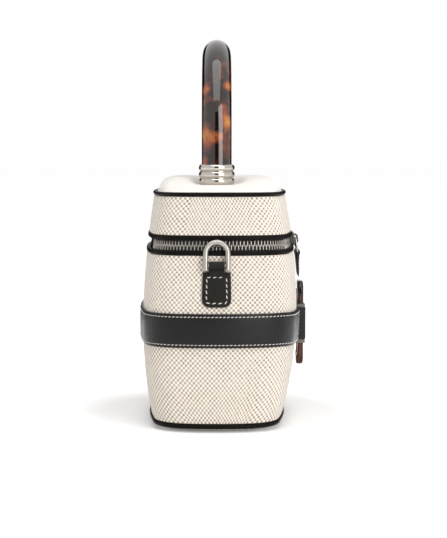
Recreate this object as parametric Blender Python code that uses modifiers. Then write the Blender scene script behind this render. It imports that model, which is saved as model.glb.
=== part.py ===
# Vanity bag: an upright rounded box in woven canvas with dark leather trim.
# A zip parts the lower body from a lid that hinges at the back and carries an arched handle.
# Units are metres. Z is up, the floor is z = 0, and the front of the bag faces -Y.

import bpy
import bmesh
from bisect import bisect_right
from functools import lru_cache
from math import atan2, ceil, cos, hypot, pi, radians, sin, sqrt
from mathutils import Matrix, Vector

# Air between neighbouring pieces
GAP = 0.0003

# Plan outline at four heights: half length, depth to the front and depth to the back
BASE_LEVEL = 0.0
BELLY_LEVEL = 0.0660
ZIP_LEVEL = 0.1170
RIM_LEVEL = 0.1486
BASE_HALF_LENGTH = 0.0850
BELLY_HALF_LENGTH = 0.0900
ZIP_HALF_LENGTH = 0.0885
RIM_HALF_LENGTH = 0.0860
BASE_FRONT = 0.0427
BELLY_FRONT = 0.0530
ZIP_FRONT = 0.0501
RIM_FRONT = 0.0449
BASE_BACK = 0.0428
BELLY_BACK = 0.0490
ZIP_BACK = 0.0455
RIM_BACK = 0.0412
FRONT_RADIUS = 0.400
BACK_RADIUS = 0.450
END_RADIUS = 0.110
CORNER_RADIUS = 0.025

# Wall layers, from the woven face inward
CANVAS_THICKNESS = 0.0012
BOARD_THICKNESS = 0.0014
LINING_THICKNESS = 0.0007
TAPE_THICKNESS = 0.0008
TAPE_WIDTH = 0.0095

# Zip
SLOT_HEIGHT = 0.0067
BINDING_HEIGHT = 0.0026
BINDING_PROUD = 0.0005
BINDING_THICKNESS = 0.0023
TOOTH_PITCH = 0.0023
TOOTH_REACH = 0.0006
TOOTH_TIP_WIDTH = 0.0005
TOOTH_DEPTH = 0.0020
GUSSET_HALF_WIDTH = 0.0580

# Pipings and end panels
BASE_PIPING_LEVEL = 0.0037
BASE_PIPING_DIAMETER = 0.0031
RIM_PIPING_DIAMETER = 0.0025
BASE_PANEL_THICKNESS = 0.0029
BASE_SHOULDER_WIDTH = 0.0090
BASE_BOARD_THICKNESS = 0.0027
LID_BOARD_THICKNESS = 0.0015
LID_PAD_EDGE = 0.0012
LID_CROWN = 0.0105
CROWN_END_POWER = 3.0
CROWN_SIDE_POWER = 12.0

# Handle
HANDLE_HALF_SPAN = 0.0550
HANDLE_DIAMETER = 0.0190
HANDLE_ARCH_LEVEL = 0.1846
FERRULE_HEIGHT = 0.0130
FERRULE_DIAMETER = 0.0228
FERRULE_GROOVE_DEPTH = 0.0010
FERRULE_FLOOR = 0.0034
FERRULE_RIBS = 3
SCREW_DIAMETER = 0.0040
SCREW_HEAD_DIAMETER = 0.0080
SCREW_HEAD_HEIGHT = 0.0022
SCREW_BITE = 0.0100
PLATE_OVERHANG = 0.0110
PLATE_WIDTH = 0.0180
PLATE_THICKNESS = 0.0016

# Belt and buckle
BELT_LEVEL = 0.0642
BELT_WIDTH = 0.0212
BELT_THICKNESS = 0.0017
BELT_DIP = 0.0030
BELT_DIP_START = 0.020
BUCKLE_WIDTH = 0.0260
BUCKLE_HEIGHT = 0.0559
BUCKLE_BAR_WIDTH = 0.0065
BUCKLE_THICKNESS = 0.0036
BUCKLE_CORNER = 0.0070
BUCKLE_TOP_SWELL = 0.0007
BUCKLE_FOOT_SWELL = 0.0020
BUCKLE_SWELL_POWER = 4
FOLD_INNER = 0.0006
FOLD_OUTER = 0.0012
FOLD_WIDTH = 0.0206
FOLD_TAIL = 0.0031
COLLAR_HEIGHT = 0.0024
COLLAR_THICKNESS = 0.0007

# End rings and their leather patches
RING_BAR_LEVEL = 0.1048
RING_WIDTH = 0.0170
RING_WIRE = 0.0033
RING_BAR_DIAMETER = 0.0022
RING_RISE = 0.0161
RING_STUB = 0.0035
RING_STAND_OFF = 0.0042
PATCH_TOP = 0.1007
PATCH_HEIGHT = 0.0218
PATCH_WIDTH = 0.0170
PATCH_THICKNESS = 0.0014
PATCH_CORNER = 0.0050
LOOP_LEATHER = 0.0012

# Zip sliders and pulls
SLIDER_OFFSET = 0.0057
SLIDER_LENGTH = 0.0100
SLIDER_PLATE = 0.0007
SLIDER_OVERLAP = 0.0011
BRIDGE_WIDTH = 0.0030
BRIDGE_SPAN = 0.0058
BRIDGE_WALL = 0.0009
LINK_WIRE = 0.0010
LINK_WIDTH = 0.0102
LINK_LENGTH = 0.0100
TAB_LENGTH = 0.0165
TAB_THICKNESS = 0.0014

# Facets: steps of each stretch of the outline, on one half of the bag
FRONT_STEPS = 4
CORNER_STEPS = 5
END_STEPS = 2
BACK_STEPS = 3

LEFT_END = FRONT_STEPS + CORNER_STEPS + END_STEPS
BACK_MIDDLE = LEFT_END + END_STEPS + CORNER_STEPS + BACK_STEPS
STATIONS = 2 * BACK_MIDDLE
RIGHT_END = STATIONS - LEFT_END

# Heights that follow from the sizes above
LOWER_BINDING_TOP = ZIP_LEVEL - SLOT_HEIGHT / 2
LOWER_BINDING_FOOT = LOWER_BINDING_TOP - BINDING_HEIGHT
UPPER_BINDING_FOOT = ZIP_LEVEL + SLOT_HEIGHT / 2
UPPER_BINDING_TOP = UPPER_BINDING_FOOT + BINDING_HEIGHT
BODY_WALL_FOOT = BASE_PIPING_LEVEL + BASE_PIPING_DIAMETER / 2 + GAP
BODY_WALL_TOP = LOWER_BINDING_FOOT - GAP
LID_WALL_FOOT = UPPER_BINDING_TOP + GAP
LID_WALL_TOP = RIM_LEVEL - RIM_PIPING_DIAMETER / 2 - GAP
BELT_FOOT = BELT_LEVEL - BELT_WIDTH / 2
BELT_TOP = BELT_LEVEL + BELT_WIDTH / 2
LOW_MIDDLE = (2 * BODY_WALL_FOOT + BELT_FOOT) / 3
HIGH_MIDDLE = (BODY_WALL_FOOT + 2 * BELT_FOOT) / 3
SHOULDER_LEVEL = (BELT_TOP + BODY_WALL_TOP) / 2
LID_MIDDLE = (LID_WALL_FOOT + LID_WALL_TOP) / 2

# Offsets from the woven face, outward positive
CANVAS_INNER = -CANVAS_THICKNESS
BOARD_OUTER = CANVAS_INNER - GAP
BOARD_INNER = BOARD_OUTER - BOARD_THICKNESS
LINING_OUTER = BOARD_INNER - GAP
LINING_INNER = LINING_OUTER - LINING_THICKNESS
BINDING_INNER = BINDING_PROUD - BINDING_THICKNESS
TAPE_OUTER = BINDING_INNER - GAP
TAPE_INNER = TAPE_OUTER - TAPE_THICKNESS
TEETH_OUTER = CANVAS_INNER - GAP / 3
TEETH_INNER = TEETH_OUTER - TOOTH_DEPTH
BELT_INNER = GAP
BELT_OUTER = BELT_INNER + BELT_THICKNESS

# The wall is straight between these heights, so every layer has the same facets
WALL_KNOTS = (BASE_LEVEL, BODY_WALL_FOOT, LOW_MIDDLE, HIGH_MIDDLE, BELT_FOOT, BELT_LEVEL, BELT_TOP,
              SHOULDER_LEVEL, BODY_WALL_TOP, LID_WALL_FOOT, LID_MIDDLE, LID_WALL_TOP,
              RIM_LEVEL + RIM_PIPING_DIAMETER)


# The hidden layers bend at fewer heights
INNER_KNOTS = (HIGH_MIDDLE, BELT_LEVEL, SHOULDER_LEVEL, LID_MIDDLE)


# Plan outline

def curve_value(height, values):
    # Cubic through the four values at the four named heights
    levels = (BASE_LEVEL, BELLY_LEVEL, ZIP_LEVEL, RIM_LEVEL)
    total = 0.0
    for i, value in enumerate(values):
        weight = 1.0
        for j, level in enumerate(levels):
            if j != i:
                weight *= (height - level) / (levels[i] - level)
        total += weight * value
    return total


def arc_points(centre, radius, start, end, steps):
    # The last point is left to the next arc
    angles = [start + (end - start) * i / steps for i in range(steps)]
    return [(centre[0] + radius * cos(a), centre[1] + radius * sin(a)) for a in angles]


def corner_centre(wide, end):
    # Centre of the corner arc, which touches the long side's arc and the end's arc from inside
    (wide_y, wide_reach), (end_x, end_reach) = wide, end
    span = hypot(end_x, wide_y)
    along = (wide_reach ** 2 - end_reach ** 2 + span ** 2) / (2 * span)
    across = sqrt(wide_reach ** 2 - along ** 2)
    direction = (end_x / span, -wide_y / span)
    middle = (direction[0] * along, wide_y + direction[1] * along)
    choices = [(middle[0] - side * direction[1] * across, middle[1] + side * direction[0] * across)
               for side in (1, -1)]
    return min(choices)


@lru_cache(maxsize=None)
def outline(height, grow):
    # One loop of points at this height, moved outward by grow, from the front middle to the left
    half_length = curve_value(height, (BASE_HALF_LENGTH, BELLY_HALF_LENGTH, ZIP_HALF_LENGTH, RIM_HALF_LENGTH))
    front = curve_value(height, (BASE_FRONT, BELLY_FRONT, ZIP_FRONT, RIM_FRONT))
    back = curve_value(height, (BASE_BACK, BELLY_BACK, ZIP_BACK, RIM_BACK))
    front_y = FRONT_RADIUS - front
    back_y = back - BACK_RADIUS
    end_x = END_RADIUS - half_length
    reach = END_RADIUS - CORNER_RADIUS
    front_corner = corner_centre((front_y, FRONT_RADIUS - CORNER_RADIUS), (end_x, reach))
    back_corner = corner_centre((back_y, BACK_RADIUS - CORNER_RADIUS), (end_x, reach))
    turn = 2 * pi
    front_angle = atan2(front_corner[1] - front_y, front_corner[0]) % turn
    front_end_angle = atan2(front_corner[1], front_corner[0] - end_x) % turn
    back_end_angle = atan2(back_corner[1], back_corner[0] - end_x) % turn
    back_angle = atan2(back_corner[1] - back_y, back_corner[0]) % turn
    corner = CORNER_RADIUS + grow
    end_centre = (end_x, 0.0)
    half = arc_points((0, front_y), FRONT_RADIUS + grow, 1.5 * pi, front_angle, FRONT_STEPS)
    half += arc_points(front_corner, corner, front_angle, front_end_angle, CORNER_STEPS)
    half += arc_points(end_centre, END_RADIUS + grow, front_end_angle, pi, END_STEPS)
    half += arc_points(end_centre, END_RADIUS + grow, pi, back_end_angle, END_STEPS)
    half += arc_points(back_corner, corner, back_end_angle, back_angle, CORNER_STEPS)
    half += arc_points((0, back_y), BACK_RADIUS + grow, back_angle, 0.5 * pi, BACK_STEPS)
    middle_back = (0.0, back + grow)
    mirrored = [(-x, y) for x, y in reversed(half[1:])]
    return half + [middle_back] + mirrored


def wall_point(station, grow, height):
    # A point on the faceted wall: station counts the outline's points and may lie between two
    knot = min(max(bisect_right(WALL_KNOTS, height + 1e-9) - 1, 0), len(WALL_KNOTS) - 2)
    low, high = WALL_KNOTS[knot], WALL_KNOTS[knot + 1]
    rise = (height - low) / (high - low)
    whole = int(station // 1)
    part = station - whole
    first, second = whole % STATIONS, (whole + 1) % STATIONS
    corners = []
    for index in (first, second):
        bottom, top = outline(low, grow)[index], outline(high, grow)[index]
        corners.append([bottom[k] + (top[k] - bottom[k]) * rise for k in (0, 1)])
    x, y = [corners[0][k] + (corners[1][k] - corners[0][k]) * part for k in (0, 1)]
    return Vector((x, y, height))


def wall_frame(station, height):
    # Axes on the wall: x along it, y out of it, z up it
    step = 0.003
    along = wall_point(station + 0.2, 0, height) - wall_point(station - 0.2, 0, height)
    up = wall_point(station, 0, height + step) - wall_point(station, 0, height - step)
    along.normalize()
    up = (up - along * up.dot(along)).normalized()
    out = up.cross(along)
    if out.dot(wall_point(station, 1.0, height) - wall_point(station, 0, height)) < 0:
        along, out = -along, -out
    matrix = Matrix((along, out, up)).transposed().to_4x4()
    matrix.translation = wall_point(station, 0, height)
    return matrix


def running_lengths(grow, height):
    # Distance along the wall from the front middle to each station of the left half
    total = [0.0]
    for i in range(BACK_MIDDLE):
        total.append(total[-1] + (wall_point(i + 1, grow, height) - wall_point(i, grow, height)).length)
    return total


def station_at(distance, lengths):
    # The station that lies this far from the front middle, to the left where positive
    size = abs(distance)
    index = min(bisect_right(lengths, size) - 1, len(lengths) - 2)
    station = index + (size - lengths[index]) / (lengths[index + 1] - lengths[index])
    return station if distance >= 0 else -station


def stations_between(start, end):
    inner = range(int(start // 1) + 1, ceil(end))
    return [start] + [i for i in inner if i - start > 1e-6 and end - i > 1e-6] + [end]


# Scene

def clear_scene():
    for old in list(bpy.data.objects):
        bpy.data.objects.remove(old, do_unlink=True)


def new_collection(name):
    collection = bpy.data.collections.new(name)
    bpy.context.scene.collection.children.link(collection)
    return collection


def make_material(name, colour, roughness, metallic=0.0):
    material = bpy.data.materials.new(name)
    material.use_nodes = True
    shader = material.node_tree.nodes["Principled BSDF"]
    shader.inputs["Base Color"].default_value = (*colour, 1.0)
    shader.inputs["Roughness"].default_value = roughness
    shader.inputs["Metallic"].default_value = metallic
    material.diffuse_color = (*colour, 1.0)
    return material


clear_scene()
bag = new_collection("vanity_bag")
workshop = new_collection("workshop")
canvas = make_material("canvas", (0.72, 0.64, 0.53), 0.85)
panel_canvas = make_material("panel_canvas", (0.86, 0.82, 0.74), 0.85)
leather = make_material("leather", (0.030, 0.024, 0.022), 0.50)
trim_leather = make_material("trim_leather", (0.040, 0.032, 0.028), 0.55)
board = make_material("board", (0.45, 0.40, 0.34), 0.90)
lining = make_material("lining", (0.55, 0.47, 0.38), 0.80)
tape = make_material("tape", (0.03, 0.03, 0.03), 0.80)
teeth_metal = make_material("teeth_metal", (0.30, 0.29, 0.28), 0.35, 1.0)
silver = make_material("silver", (0.72, 0.70, 0.66), 0.22, 1.0)
tortoise = make_material("tortoise", (0.16, 0.06, 0.03), 0.12)
axes = {}


def make_axis(name, place, carrier=None):
    # An empty on a joint's axis, which carries the pieces that move with it
    empty = bpy.data.objects.new(name, None)
    empty.empty_display_size = 0.01
    home = axes[carrier][1] if carrier else Vector((0, 0, 0))
    empty.location = Vector(place) - home
    if carrier:
        empty.parent = axes[carrier][0]
    bag.objects.link(empty)
    axes[name] = (empty, Vector(place))


def mesh_object(name, bm, collection):
    mesh = bpy.data.meshes.new(name)
    bm.to_mesh(mesh)
    bm.free()
    made = bpy.data.objects.new(name, mesh)
    collection.objects.link(made)
    return made


def add_piece(name, bm, material, carrier=None, smooth=radians(35)):
    # Turns a mesh drawn in world coordinates into a named piece with its origin on its joint
    bmesh.ops.recalc_face_normals(bm, faces=bm.faces)
    if carrier:
        bmesh.ops.translate(bm, verts=bm.verts, vec=-axes[carrier][1])
    piece = mesh_object(name, bm, bag)
    piece.data.materials.append(material)
    piece.data.shade_smooth()
    piece.data.set_sharp_from_angle(angle=smooth)
    if carrier:
        piece.parent = axes[carrier][0]
    return piece


# Modelling helpers

def loft(rings, closed):
    # Skins a row of point loops; an open row is closed at each end with one flat face
    bm = bmesh.new()
    rows = [[bm.verts.new(point) for point in ring] for ring in rings]
    following = rows[1:] + rows[:1] if closed else rows[1:]
    for row, after in zip(rows, following):
        for i in range(len(row)):
            j = (i + 1) % len(row)
            bm.faces.new((row[i], row[j], after[j], after[i]))
    if not closed:
        bm.faces.new(rows[0])
        bm.faces.new(list(reversed(rows[-1])))
    bmesh.ops.recalc_face_normals(bm, faces=bm.faces)
    return bm


def wall_band(section, stations=None, lift=None):
    # Sweeps a section of (offset, height) points along the wall, right round or between stations
    closed = stations is None
    places = range(STATIONS) if closed else stations
    rise = lift or (lambda station: 0.0)
    rings = [[wall_point(s, grow, height + rise(s)) for grow, height in section] for s in places]
    return loft(rings, closed)


def levels_between(foot, top, knots):
    return [foot] + [k for k in knots if foot + GAP < k < top - GAP] + [top]


def layer_section(outer, inner, foot, top, knots):
    # Section of an upright layer, with a point at each knot where it bends
    levels = levels_between(foot, top, knots)
    return [(outer, z) for z in levels] + [(inner, z) for z in reversed(levels)]


def wall_loop(grow, height):
    return [wall_point(i, grow, height) for i in range(STATIONS)]


def tube(points, diameter, closed=False, sides=8):
    # A round bar along a row of points, as a closed mesh
    curve = bpy.data.curves.new("route", "CURVE")
    curve.dimensions = "3D"
    curve.bevel_depth = diameter / 2
    curve.bevel_resolution = sides // 2 - 2
    curve.use_fill_caps = not closed
    spline = curve.splines.new("POLY")
    spline.points.add(len(points) - 1)
    for target, point in zip(spline.points, points):
        target.co = (*point, 1.0)
    spline.use_cyclic_u = closed
    return curve_to_mesh(curve)


def curve_to_mesh(curve):
    guide = bpy.data.objects.new("route", curve)
    workshop.objects.link(guide)
    bpy.context.view_layer.update()
    evaluated = guide.evaluated_get(bpy.context.evaluated_depsgraph_get())
    mesh = bpy.data.meshes.new_from_object(evaluated)
    bm = bmesh.new()
    bm.from_mesh(mesh)
    bmesh.ops.remove_doubles(bm, verts=bm.verts, dist=1e-6)
    bmesh.ops.recalc_face_normals(bm, faces=bm.faces)
    bpy.data.objects.remove(guide, do_unlink=True)
    bpy.data.curves.remove(curve)
    bpy.data.meshes.remove(mesh)
    return bm


def extrusion(outlines, thickness, place):
    # A flat plate from closed outlines, the first the edge and the rest holes
    curve = bpy.data.curves.new("sketch", "CURVE")
    curve.dimensions = "2D"
    curve.fill_mode = "BOTH"
    curve.extrude = thickness / 2
    for points in outlines:
        spline = curve.splines.new("POLY")
        spline.points.add(len(points) - 1)
        for target, point in zip(spline.points, points):
            target.co = (point[0], point[1], 0.0, 1.0)
        spline.use_cyclic_u = True
    bm = curve_to_mesh(curve)
    bmesh.ops.transform(bm, matrix=place, verts=bm.verts)
    bmesh.ops.recalc_face_normals(bm, faces=bm.faces)
    return bm


def combine(first, second, operation):
    # Boolean of two closed meshes
    base = mesh_object("base", first, workshop)
    tool = mesh_object("tool", second, workshop)
    change = base.modifiers.new("cut", "BOOLEAN")
    change.operation = operation
    change.solver = "EXACT"
    change.object = tool
    bpy.context.view_layer.update()
    evaluated = base.evaluated_get(bpy.context.evaluated_depsgraph_get())
    bm = bmesh.new()
    bm.from_mesh(evaluated.to_mesh())
    evaluated.to_mesh_clear()
    for used in (base, tool):
        mesh = used.data
        bpy.data.objects.remove(used, do_unlink=True)
        bpy.data.meshes.remove(mesh)
    bmesh.ops.dissolve_degenerate(bm, edges=bm.edges, dist=1e-6)
    return bm


def block(low, high, place):
    # A box between two corners
    bm = bmesh.new()
    size = [b - a for a, b in zip(low, high)]
    middle = [(a + b) / 2 for a, b in zip(low, high)]
    bmesh.ops.create_cube(bm, size=1.0)
    bmesh.ops.scale(bm, vec=size, verts=bm.verts)
    bmesh.ops.translate(bm, vec=middle, verts=bm.verts)
    bmesh.ops.transform(bm, matrix=place, verts=bm.verts)
    return bm


def cylinder(start, end, diameter, sides=12):
    bm = bmesh.new()
    axis = Vector(end) - Vector(start)
    bmesh.ops.create_cone(bm, cap_ends=True, segments=sides, radius1=diameter / 2,
                          radius2=diameter / 2, depth=axis.length)
    turn = Vector((0, 0, 1)).rotation_difference(axis).to_matrix().to_4x4()
    middle = (Vector(start) + Vector(end)) / 2
    bmesh.ops.transform(bm, matrix=Matrix.Translation(middle) @ turn, verts=bm.verts)
    return bm


def turned(name, profile, place, steps, material, carrier, closed):
    # A profile of (radius, height) points turned about an upright axis, top to bottom outside
    mesh = bpy.data.meshes.new(name)
    edges = [(i, i + 1) for i in range(len(profile) - 1)]
    if closed:
        edges.append((len(profile) - 1, 0))
    mesh.from_pydata([(r, 0.0, z) for r, z in profile], edges, [])
    piece = bpy.data.objects.new(name, mesh)
    bag.objects.link(piece)
    mesh.materials.append(material)
    screw = piece.modifiers.new("turn", "SCREW")
    screw.steps = steps
    screw.render_steps = steps
    screw.use_smooth_shade = True
    screw.use_merge_vertices = True
    screw.merge_threshold = 1e-5
    piece.location = Vector(place) - axes[carrier][1]
    piece.parent = axes[carrier][0]
    return piece


def rounded_rectangle(width, height, corner, steps):
    # Closed outline about the origin, anticlockwise
    points = []
    for side_x, side_y, start in ((1, -1, -0.5 * pi), (1, 1, 0), (-1, 1, 0.5 * pi), (-1, -1, pi)):
        centre = (side_x * (width / 2 - corner), side_y * (height / 2 - corner))
        for i in range(steps + 1):
            angle = start + 0.5 * pi * i / steps
            points.append((centre[0] + corner * cos(angle), centre[1] + corner * sin(angle)))
    return points


def circle(centre, radius, steps):
    return [(centre[0] + radius * cos(2 * pi * i / steps), centre[1] + radius * sin(2 * pi * i / steps))
            for i in range(steps)]


# Lower body

def build_canvas(name, foot, top, carrier=None):
    section = layer_section(0.0, CANVAS_INNER, foot, top, WALL_KNOTS)
    add_piece(name, wall_band(section), canvas, carrier)


def build_stiffener(name, foot, top, carrier=None):
    section = layer_section(BOARD_OUTER, BOARD_INNER, foot, top, INNER_KNOTS)
    add_piece(name, wall_band(section), board, carrier)


def cup_rings(foot, floor_thickness, top):
    # Rings of a lining bag, from the middle of its underside over the rim to its inner floor
    levels = levels_between(foot, top, INNER_KNOTS)
    outside = [wall_loop(LINING_OUTER, z) for z in levels]
    inner_levels = [z for z in reversed(levels) if z > foot + floor_thickness + GAP]
    inside = [wall_loop(LINING_INNER, z) for z in inner_levels + [foot + floor_thickness]]
    return outside + inside


def build_body_lining():
    foot = BASE_PANEL_THICKNESS + GAP + BASE_BOARD_THICKNESS + GAP
    add_piece("body_lining", loft(cup_rings(foot, LINING_THICKNESS, BODY_WALL_TOP), False), lining)


def build_base():
    edge = BASE_PANEL_THICKNESS
    shoulder = [(-BASE_SHOULDER_WIDTH, 0.0), (-0.62 * BASE_SHOULDER_WIDTH, 0.12 * edge),
                (-0.33 * BASE_SHOULDER_WIDTH, 0.38 * edge), (-0.14 * BASE_SHOULDER_WIDTH, 0.62 * edge),
                (-BASE_PIPING_DIAMETER / 2 - 2 * GAP, edge)]
    add_piece("base_panel", loft([wall_loop(grow, z) for grow, z in shoulder], False), canvas)
    foot = BASE_PANEL_THICKNESS + GAP
    sheet = [wall_loop(LINING_OUTER, z) for z in (foot, foot + BASE_BOARD_THICKNESS)]
    add_piece("base_board", loft(sheet, False), board)
    route = wall_loop(-GAP, BASE_PIPING_LEVEL)
    add_piece("base_piping", tube(route, BASE_PIPING_DIAMETER, closed=True, sides=6), trim_leather)


# Zip

def zip_ends():
    lengths = running_lengths(TEETH_OUTER, ZIP_LEVEL)
    reach = lengths[-1] - GUSSET_HALF_WIDTH
    return lengths, reach


def build_zip_row(side, carrier):
    # One half of the zip: side is -1 below the slot and 1 above it
    names = {-1: ("body_zip_binding", "zip_tape_lower"), 1: ("lid_zip_binding", "zip_tape_upper")}
    near = ZIP_LEVEL + side * SLOT_HEIGHT / 2
    far = near + side * BINDING_HEIGHT
    bulge = BINDING_PROUD
    section = [(0.0, far), (bulge, far - side * 0.3 * BINDING_HEIGHT),
               (bulge, near + side * 0.3 * BINDING_HEIGHT), (0.0, near), (BINDING_INNER, near),
               (BINDING_INNER, far)]
    add_piece(names[side][0], wall_band(section), trim_leather, carrier)
    lengths, reach = zip_ends()
    end = station_at(reach - GAP, lengths)
    places = stations_between(-end, end)
    back = near + side * TAPE_WIDTH
    section = [(TAPE_OUTER, near), (TAPE_OUTER, back), (TAPE_INNER, back), (TAPE_INNER, near)]
    add_piece(names[side][1], wall_band(section, places), tape, carrier)


def tooth_profile(count, pitch, shift, start, side):
    # Columns of (distance, edge height): a valley, then the two corners of the tooth's tip
    gap = GAP
    half_centre = (pitch / 2 - gap) / 2
    slope = (half_centre - TOOTH_TIP_WIDTH / 2) / TOOTH_REACH
    valley = -(pitch / 2 - half_centre) / slope
    columns = []
    for i in range(count):
        middle = start + shift + (i + 0.5) * pitch
        columns.append((middle - pitch / 2, -side * valley))
        columns.append((middle - TOOTH_TIP_WIDTH / 2, -side * TOOTH_REACH))
        columns.append((middle + TOOTH_TIP_WIDTH / 2, -side * TOOTH_REACH))
    columns.append((start + shift + count * pitch, -side * valley))
    return columns


def build_teeth(name, side, carrier):
    # A comb whose tips mesh with the other row's: side is -1 for the lower row
    lengths, reach = zip_ends()
    pairs = int(2 * (reach - 2 * GAP) / TOOTH_PITCH)
    pitch = 2 * (reach - 2 * GAP) / pairs
    count = pairs if side < 0 else pairs - 1
    shift = 0.0 if side < 0 else pitch / 2
    root = ZIP_LEVEL + side * (SLOT_HEIGHT / 2 - GAP)
    bm = bmesh.new()
    rows = []
    for distance, edge in tooth_profile(count, pitch, shift, -reach + 2 * GAP, side):
        station = station_at(distance, lengths)
        tip = [bm.verts.new(wall_point(station, grow, ZIP_LEVEL + edge))
               for grow in (TEETH_OUTER, TEETH_INNER)]
        foot = None
        if len(rows) % 3 == 0:
            foot = [bm.verts.new(wall_point(station, grow, root)) for grow in (TEETH_OUTER, TEETH_INNER)]
        rows.append((tip, foot))
    for i in range(0, len(rows) - 1, 3):
        valley, left, right, after = rows[i:i + 4]
        edges = [valley[0], left[0], right[0], after[0], after[1], valley[1]]
        for k in (0, 1):
            bm.faces.new([pair[k] for pair in edges])
        for first, second in zip(edges[:3], edges[1:4]):
            bm.faces.new((first[0], first[1], second[1], second[0]))
        bm.faces.new((valley[1][0], after[1][0], after[1][1], valley[1][1]))
    for tip, foot in (rows[0], rows[-1]):
        bm.faces.new((tip[0], foot[0], foot[1], tip[1]))
    add_piece(name, bm, teeth_metal, carrier, smooth=radians(20))


def build_gusset():
    # The leather hinge fills the back of the slot, from the lower wall to the lid
    lengths, reach = zip_ends()
    start = station_at(reach + GAP, lengths)
    places = stations_between(start, STATIONS - start)
    foot = LOWER_BINDING_TOP - TAPE_WIDTH
    top = UPPER_BINDING_FOOT + TAPE_WIDTH
    section = [(TAPE_OUTER, foot), (TAPE_OUTER, top), (TAPE_INNER, top), (TAPE_INNER, foot)]
    add_piece("hinge_gusset", wall_band(section, places), trim_leather)


# Lid

def build_lid_walls(carrier):
    board_foot = UPPER_BINDING_FOOT + TAPE_WIDTH + GAP
    build_canvas("lid_canvas_wall", LID_WALL_FOOT, LID_WALL_TOP, carrier)
    build_stiffener("lid_stiffener", board_foot, LID_WALL_TOP, carrier)
    ceiling = LID_WALL_TOP - LID_BOARD_THICKNESS - GAP
    levels = [LID_WALL_FOOT, LID_MIDDLE, ceiling]
    outside = [wall_loop(LINING_OUTER, z) for z in reversed(levels)]
    inside = [wall_loop(LINING_INNER, z) for z in levels[:-1] + [ceiling - LINING_THICKNESS]]
    lid_lining = loft(outside + inside, False)
    add_piece("lid_lining", with_screw_holes(lid_lining), lining, carrier)
    foot = ceiling + GAP
    sheet = loft([wall_loop(LINING_OUTER, z) for z in (foot, foot + LID_BOARD_THICKNESS - GAP)], False)
    add_piece("lid_top_board", with_screw_holes(sheet), board, carrier)


CROWN_FOOT = LID_WALL_TOP + GAP + LID_PAD_EDGE
CROWN_REACH = RIM_HALF_LENGTH - RIM_PIPING_DIAMETER / 2 - 2 * GAP


def crown_height(share, toward_end=1.0):
    # Height of the domed top: share is 0 in the middle and 1 at the piping, and toward_end is 1 on
    # the way to an end, where the dome rises slowly, and 0 on the way to a side, where it is steep
    power = CROWN_SIDE_POWER + (CROWN_END_POWER - CROWN_SIDE_POWER) * toward_end ** 4
    return CROWN_FOOT + LID_CROWN * (1 - share ** power)


def build_lid_top(carrier):
    edge = -RIM_PIPING_DIAMETER / 2 - 2 * GAP
    foot = LID_WALL_TOP + GAP
    rim = wall_loop(edge, foot)
    rings = [rim]
    for share in (1.0, 0.96, 0.90, 0.81, 0.69, 0.54, 0.34):
        heights = [crown_height(share, min(abs(p.x) / CROWN_REACH, 1.0)) for p in rim]
        rings.append([Vector((p.x * share, p.y * share, height)) for p, height in zip(rim, heights)])
    dome = with_ferrule_seats(with_screw_holes(loft(rings, False)))
    add_piece("lid_top_panel", dome, panel_canvas, carrier)
    route = wall_loop(-GAP, RIM_LEVEL)
    add_piece("lid_piping", tube(route, RIM_PIPING_DIAMETER, closed=True, sides=6), trim_leather, carrier)


# Handle

# The ferrules are drawn down into the padding, level with the dome at their outer edges
FERRULE_FOOT = crown_height((HANDLE_HALF_SPAN + FERRULE_DIAMETER / 2) / CROWN_REACH)
PLATE_TOP = LID_WALL_TOP - LID_BOARD_THICKNESS - GAP - LINING_THICKNESS - GAP
TUBE_FOOT = FERRULE_FOOT + FERRULE_FLOOR + GAP


def with_screw_holes(bm):
    for side in (-1, 1):
        drill = cylinder((side * HANDLE_HALF_SPAN, 0, PLATE_TOP - 2 * PLATE_THICKNESS),
                         (side * HANDLE_HALF_SPAN, 0, TUBE_FOOT + SCREW_BITE + GAP),
                         SCREW_DIAMETER + 2 * GAP, sides=12)
        bm = combine(bm, drill, "DIFFERENCE")
    return bm


def with_ferrule_seats(bm):
    for side in (-1, 1):
        foot = (side * HANDLE_HALF_SPAN, 0, FERRULE_FOOT - GAP)
        above = (side * HANDLE_HALF_SPAN, 0, CROWN_FOOT + 2 * LID_CROWN)
        seat = cylinder(foot, above, FERRULE_DIAMETER + 2 * GAP, sides=32)
        bm = combine(bm, seat, "DIFFERENCE")
    return bm


def build_handle(carrier):
    steps = 24
    points = [(-HANDLE_HALF_SPAN, 0, TUBE_FOOT)]
    for i in range(steps + 1):
        angle = pi - pi * i / steps
        points.append((HANDLE_HALF_SPAN * cos(angle), 0, HANDLE_ARCH_LEVEL + HANDLE_HALF_SPAN * sin(angle)))
    points.append((HANDLE_HALF_SPAN, 0, TUBE_FOOT))
    arch = with_screw_holes(tube(points, HANDLE_DIAMETER, sides=16))
    add_piece("handle_tube", arch, tortoise, carrier)
    for side, word in ((-1, "left"), (1, "right")):
        build_ferrule("handle_ferrule_" + word, side * HANDLE_HALF_SPAN, carrier)
        build_screw("handle_screw_" + word, side * HANDLE_HALF_SPAN, carrier)
    ends = rounded_rectangle(2 * (HANDLE_HALF_SPAN + PLATE_OVERHANG), PLATE_WIDTH, PLATE_WIDTH / 3, 4)
    middle = Matrix.Translation((0, 0, PLATE_TOP - PLATE_THICKNESS / 2))
    plate = extrusion([ends], PLATE_THICKNESS, middle)
    add_piece("handle_backing_plate", with_screw_holes(plate), silver, carrier)


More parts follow.
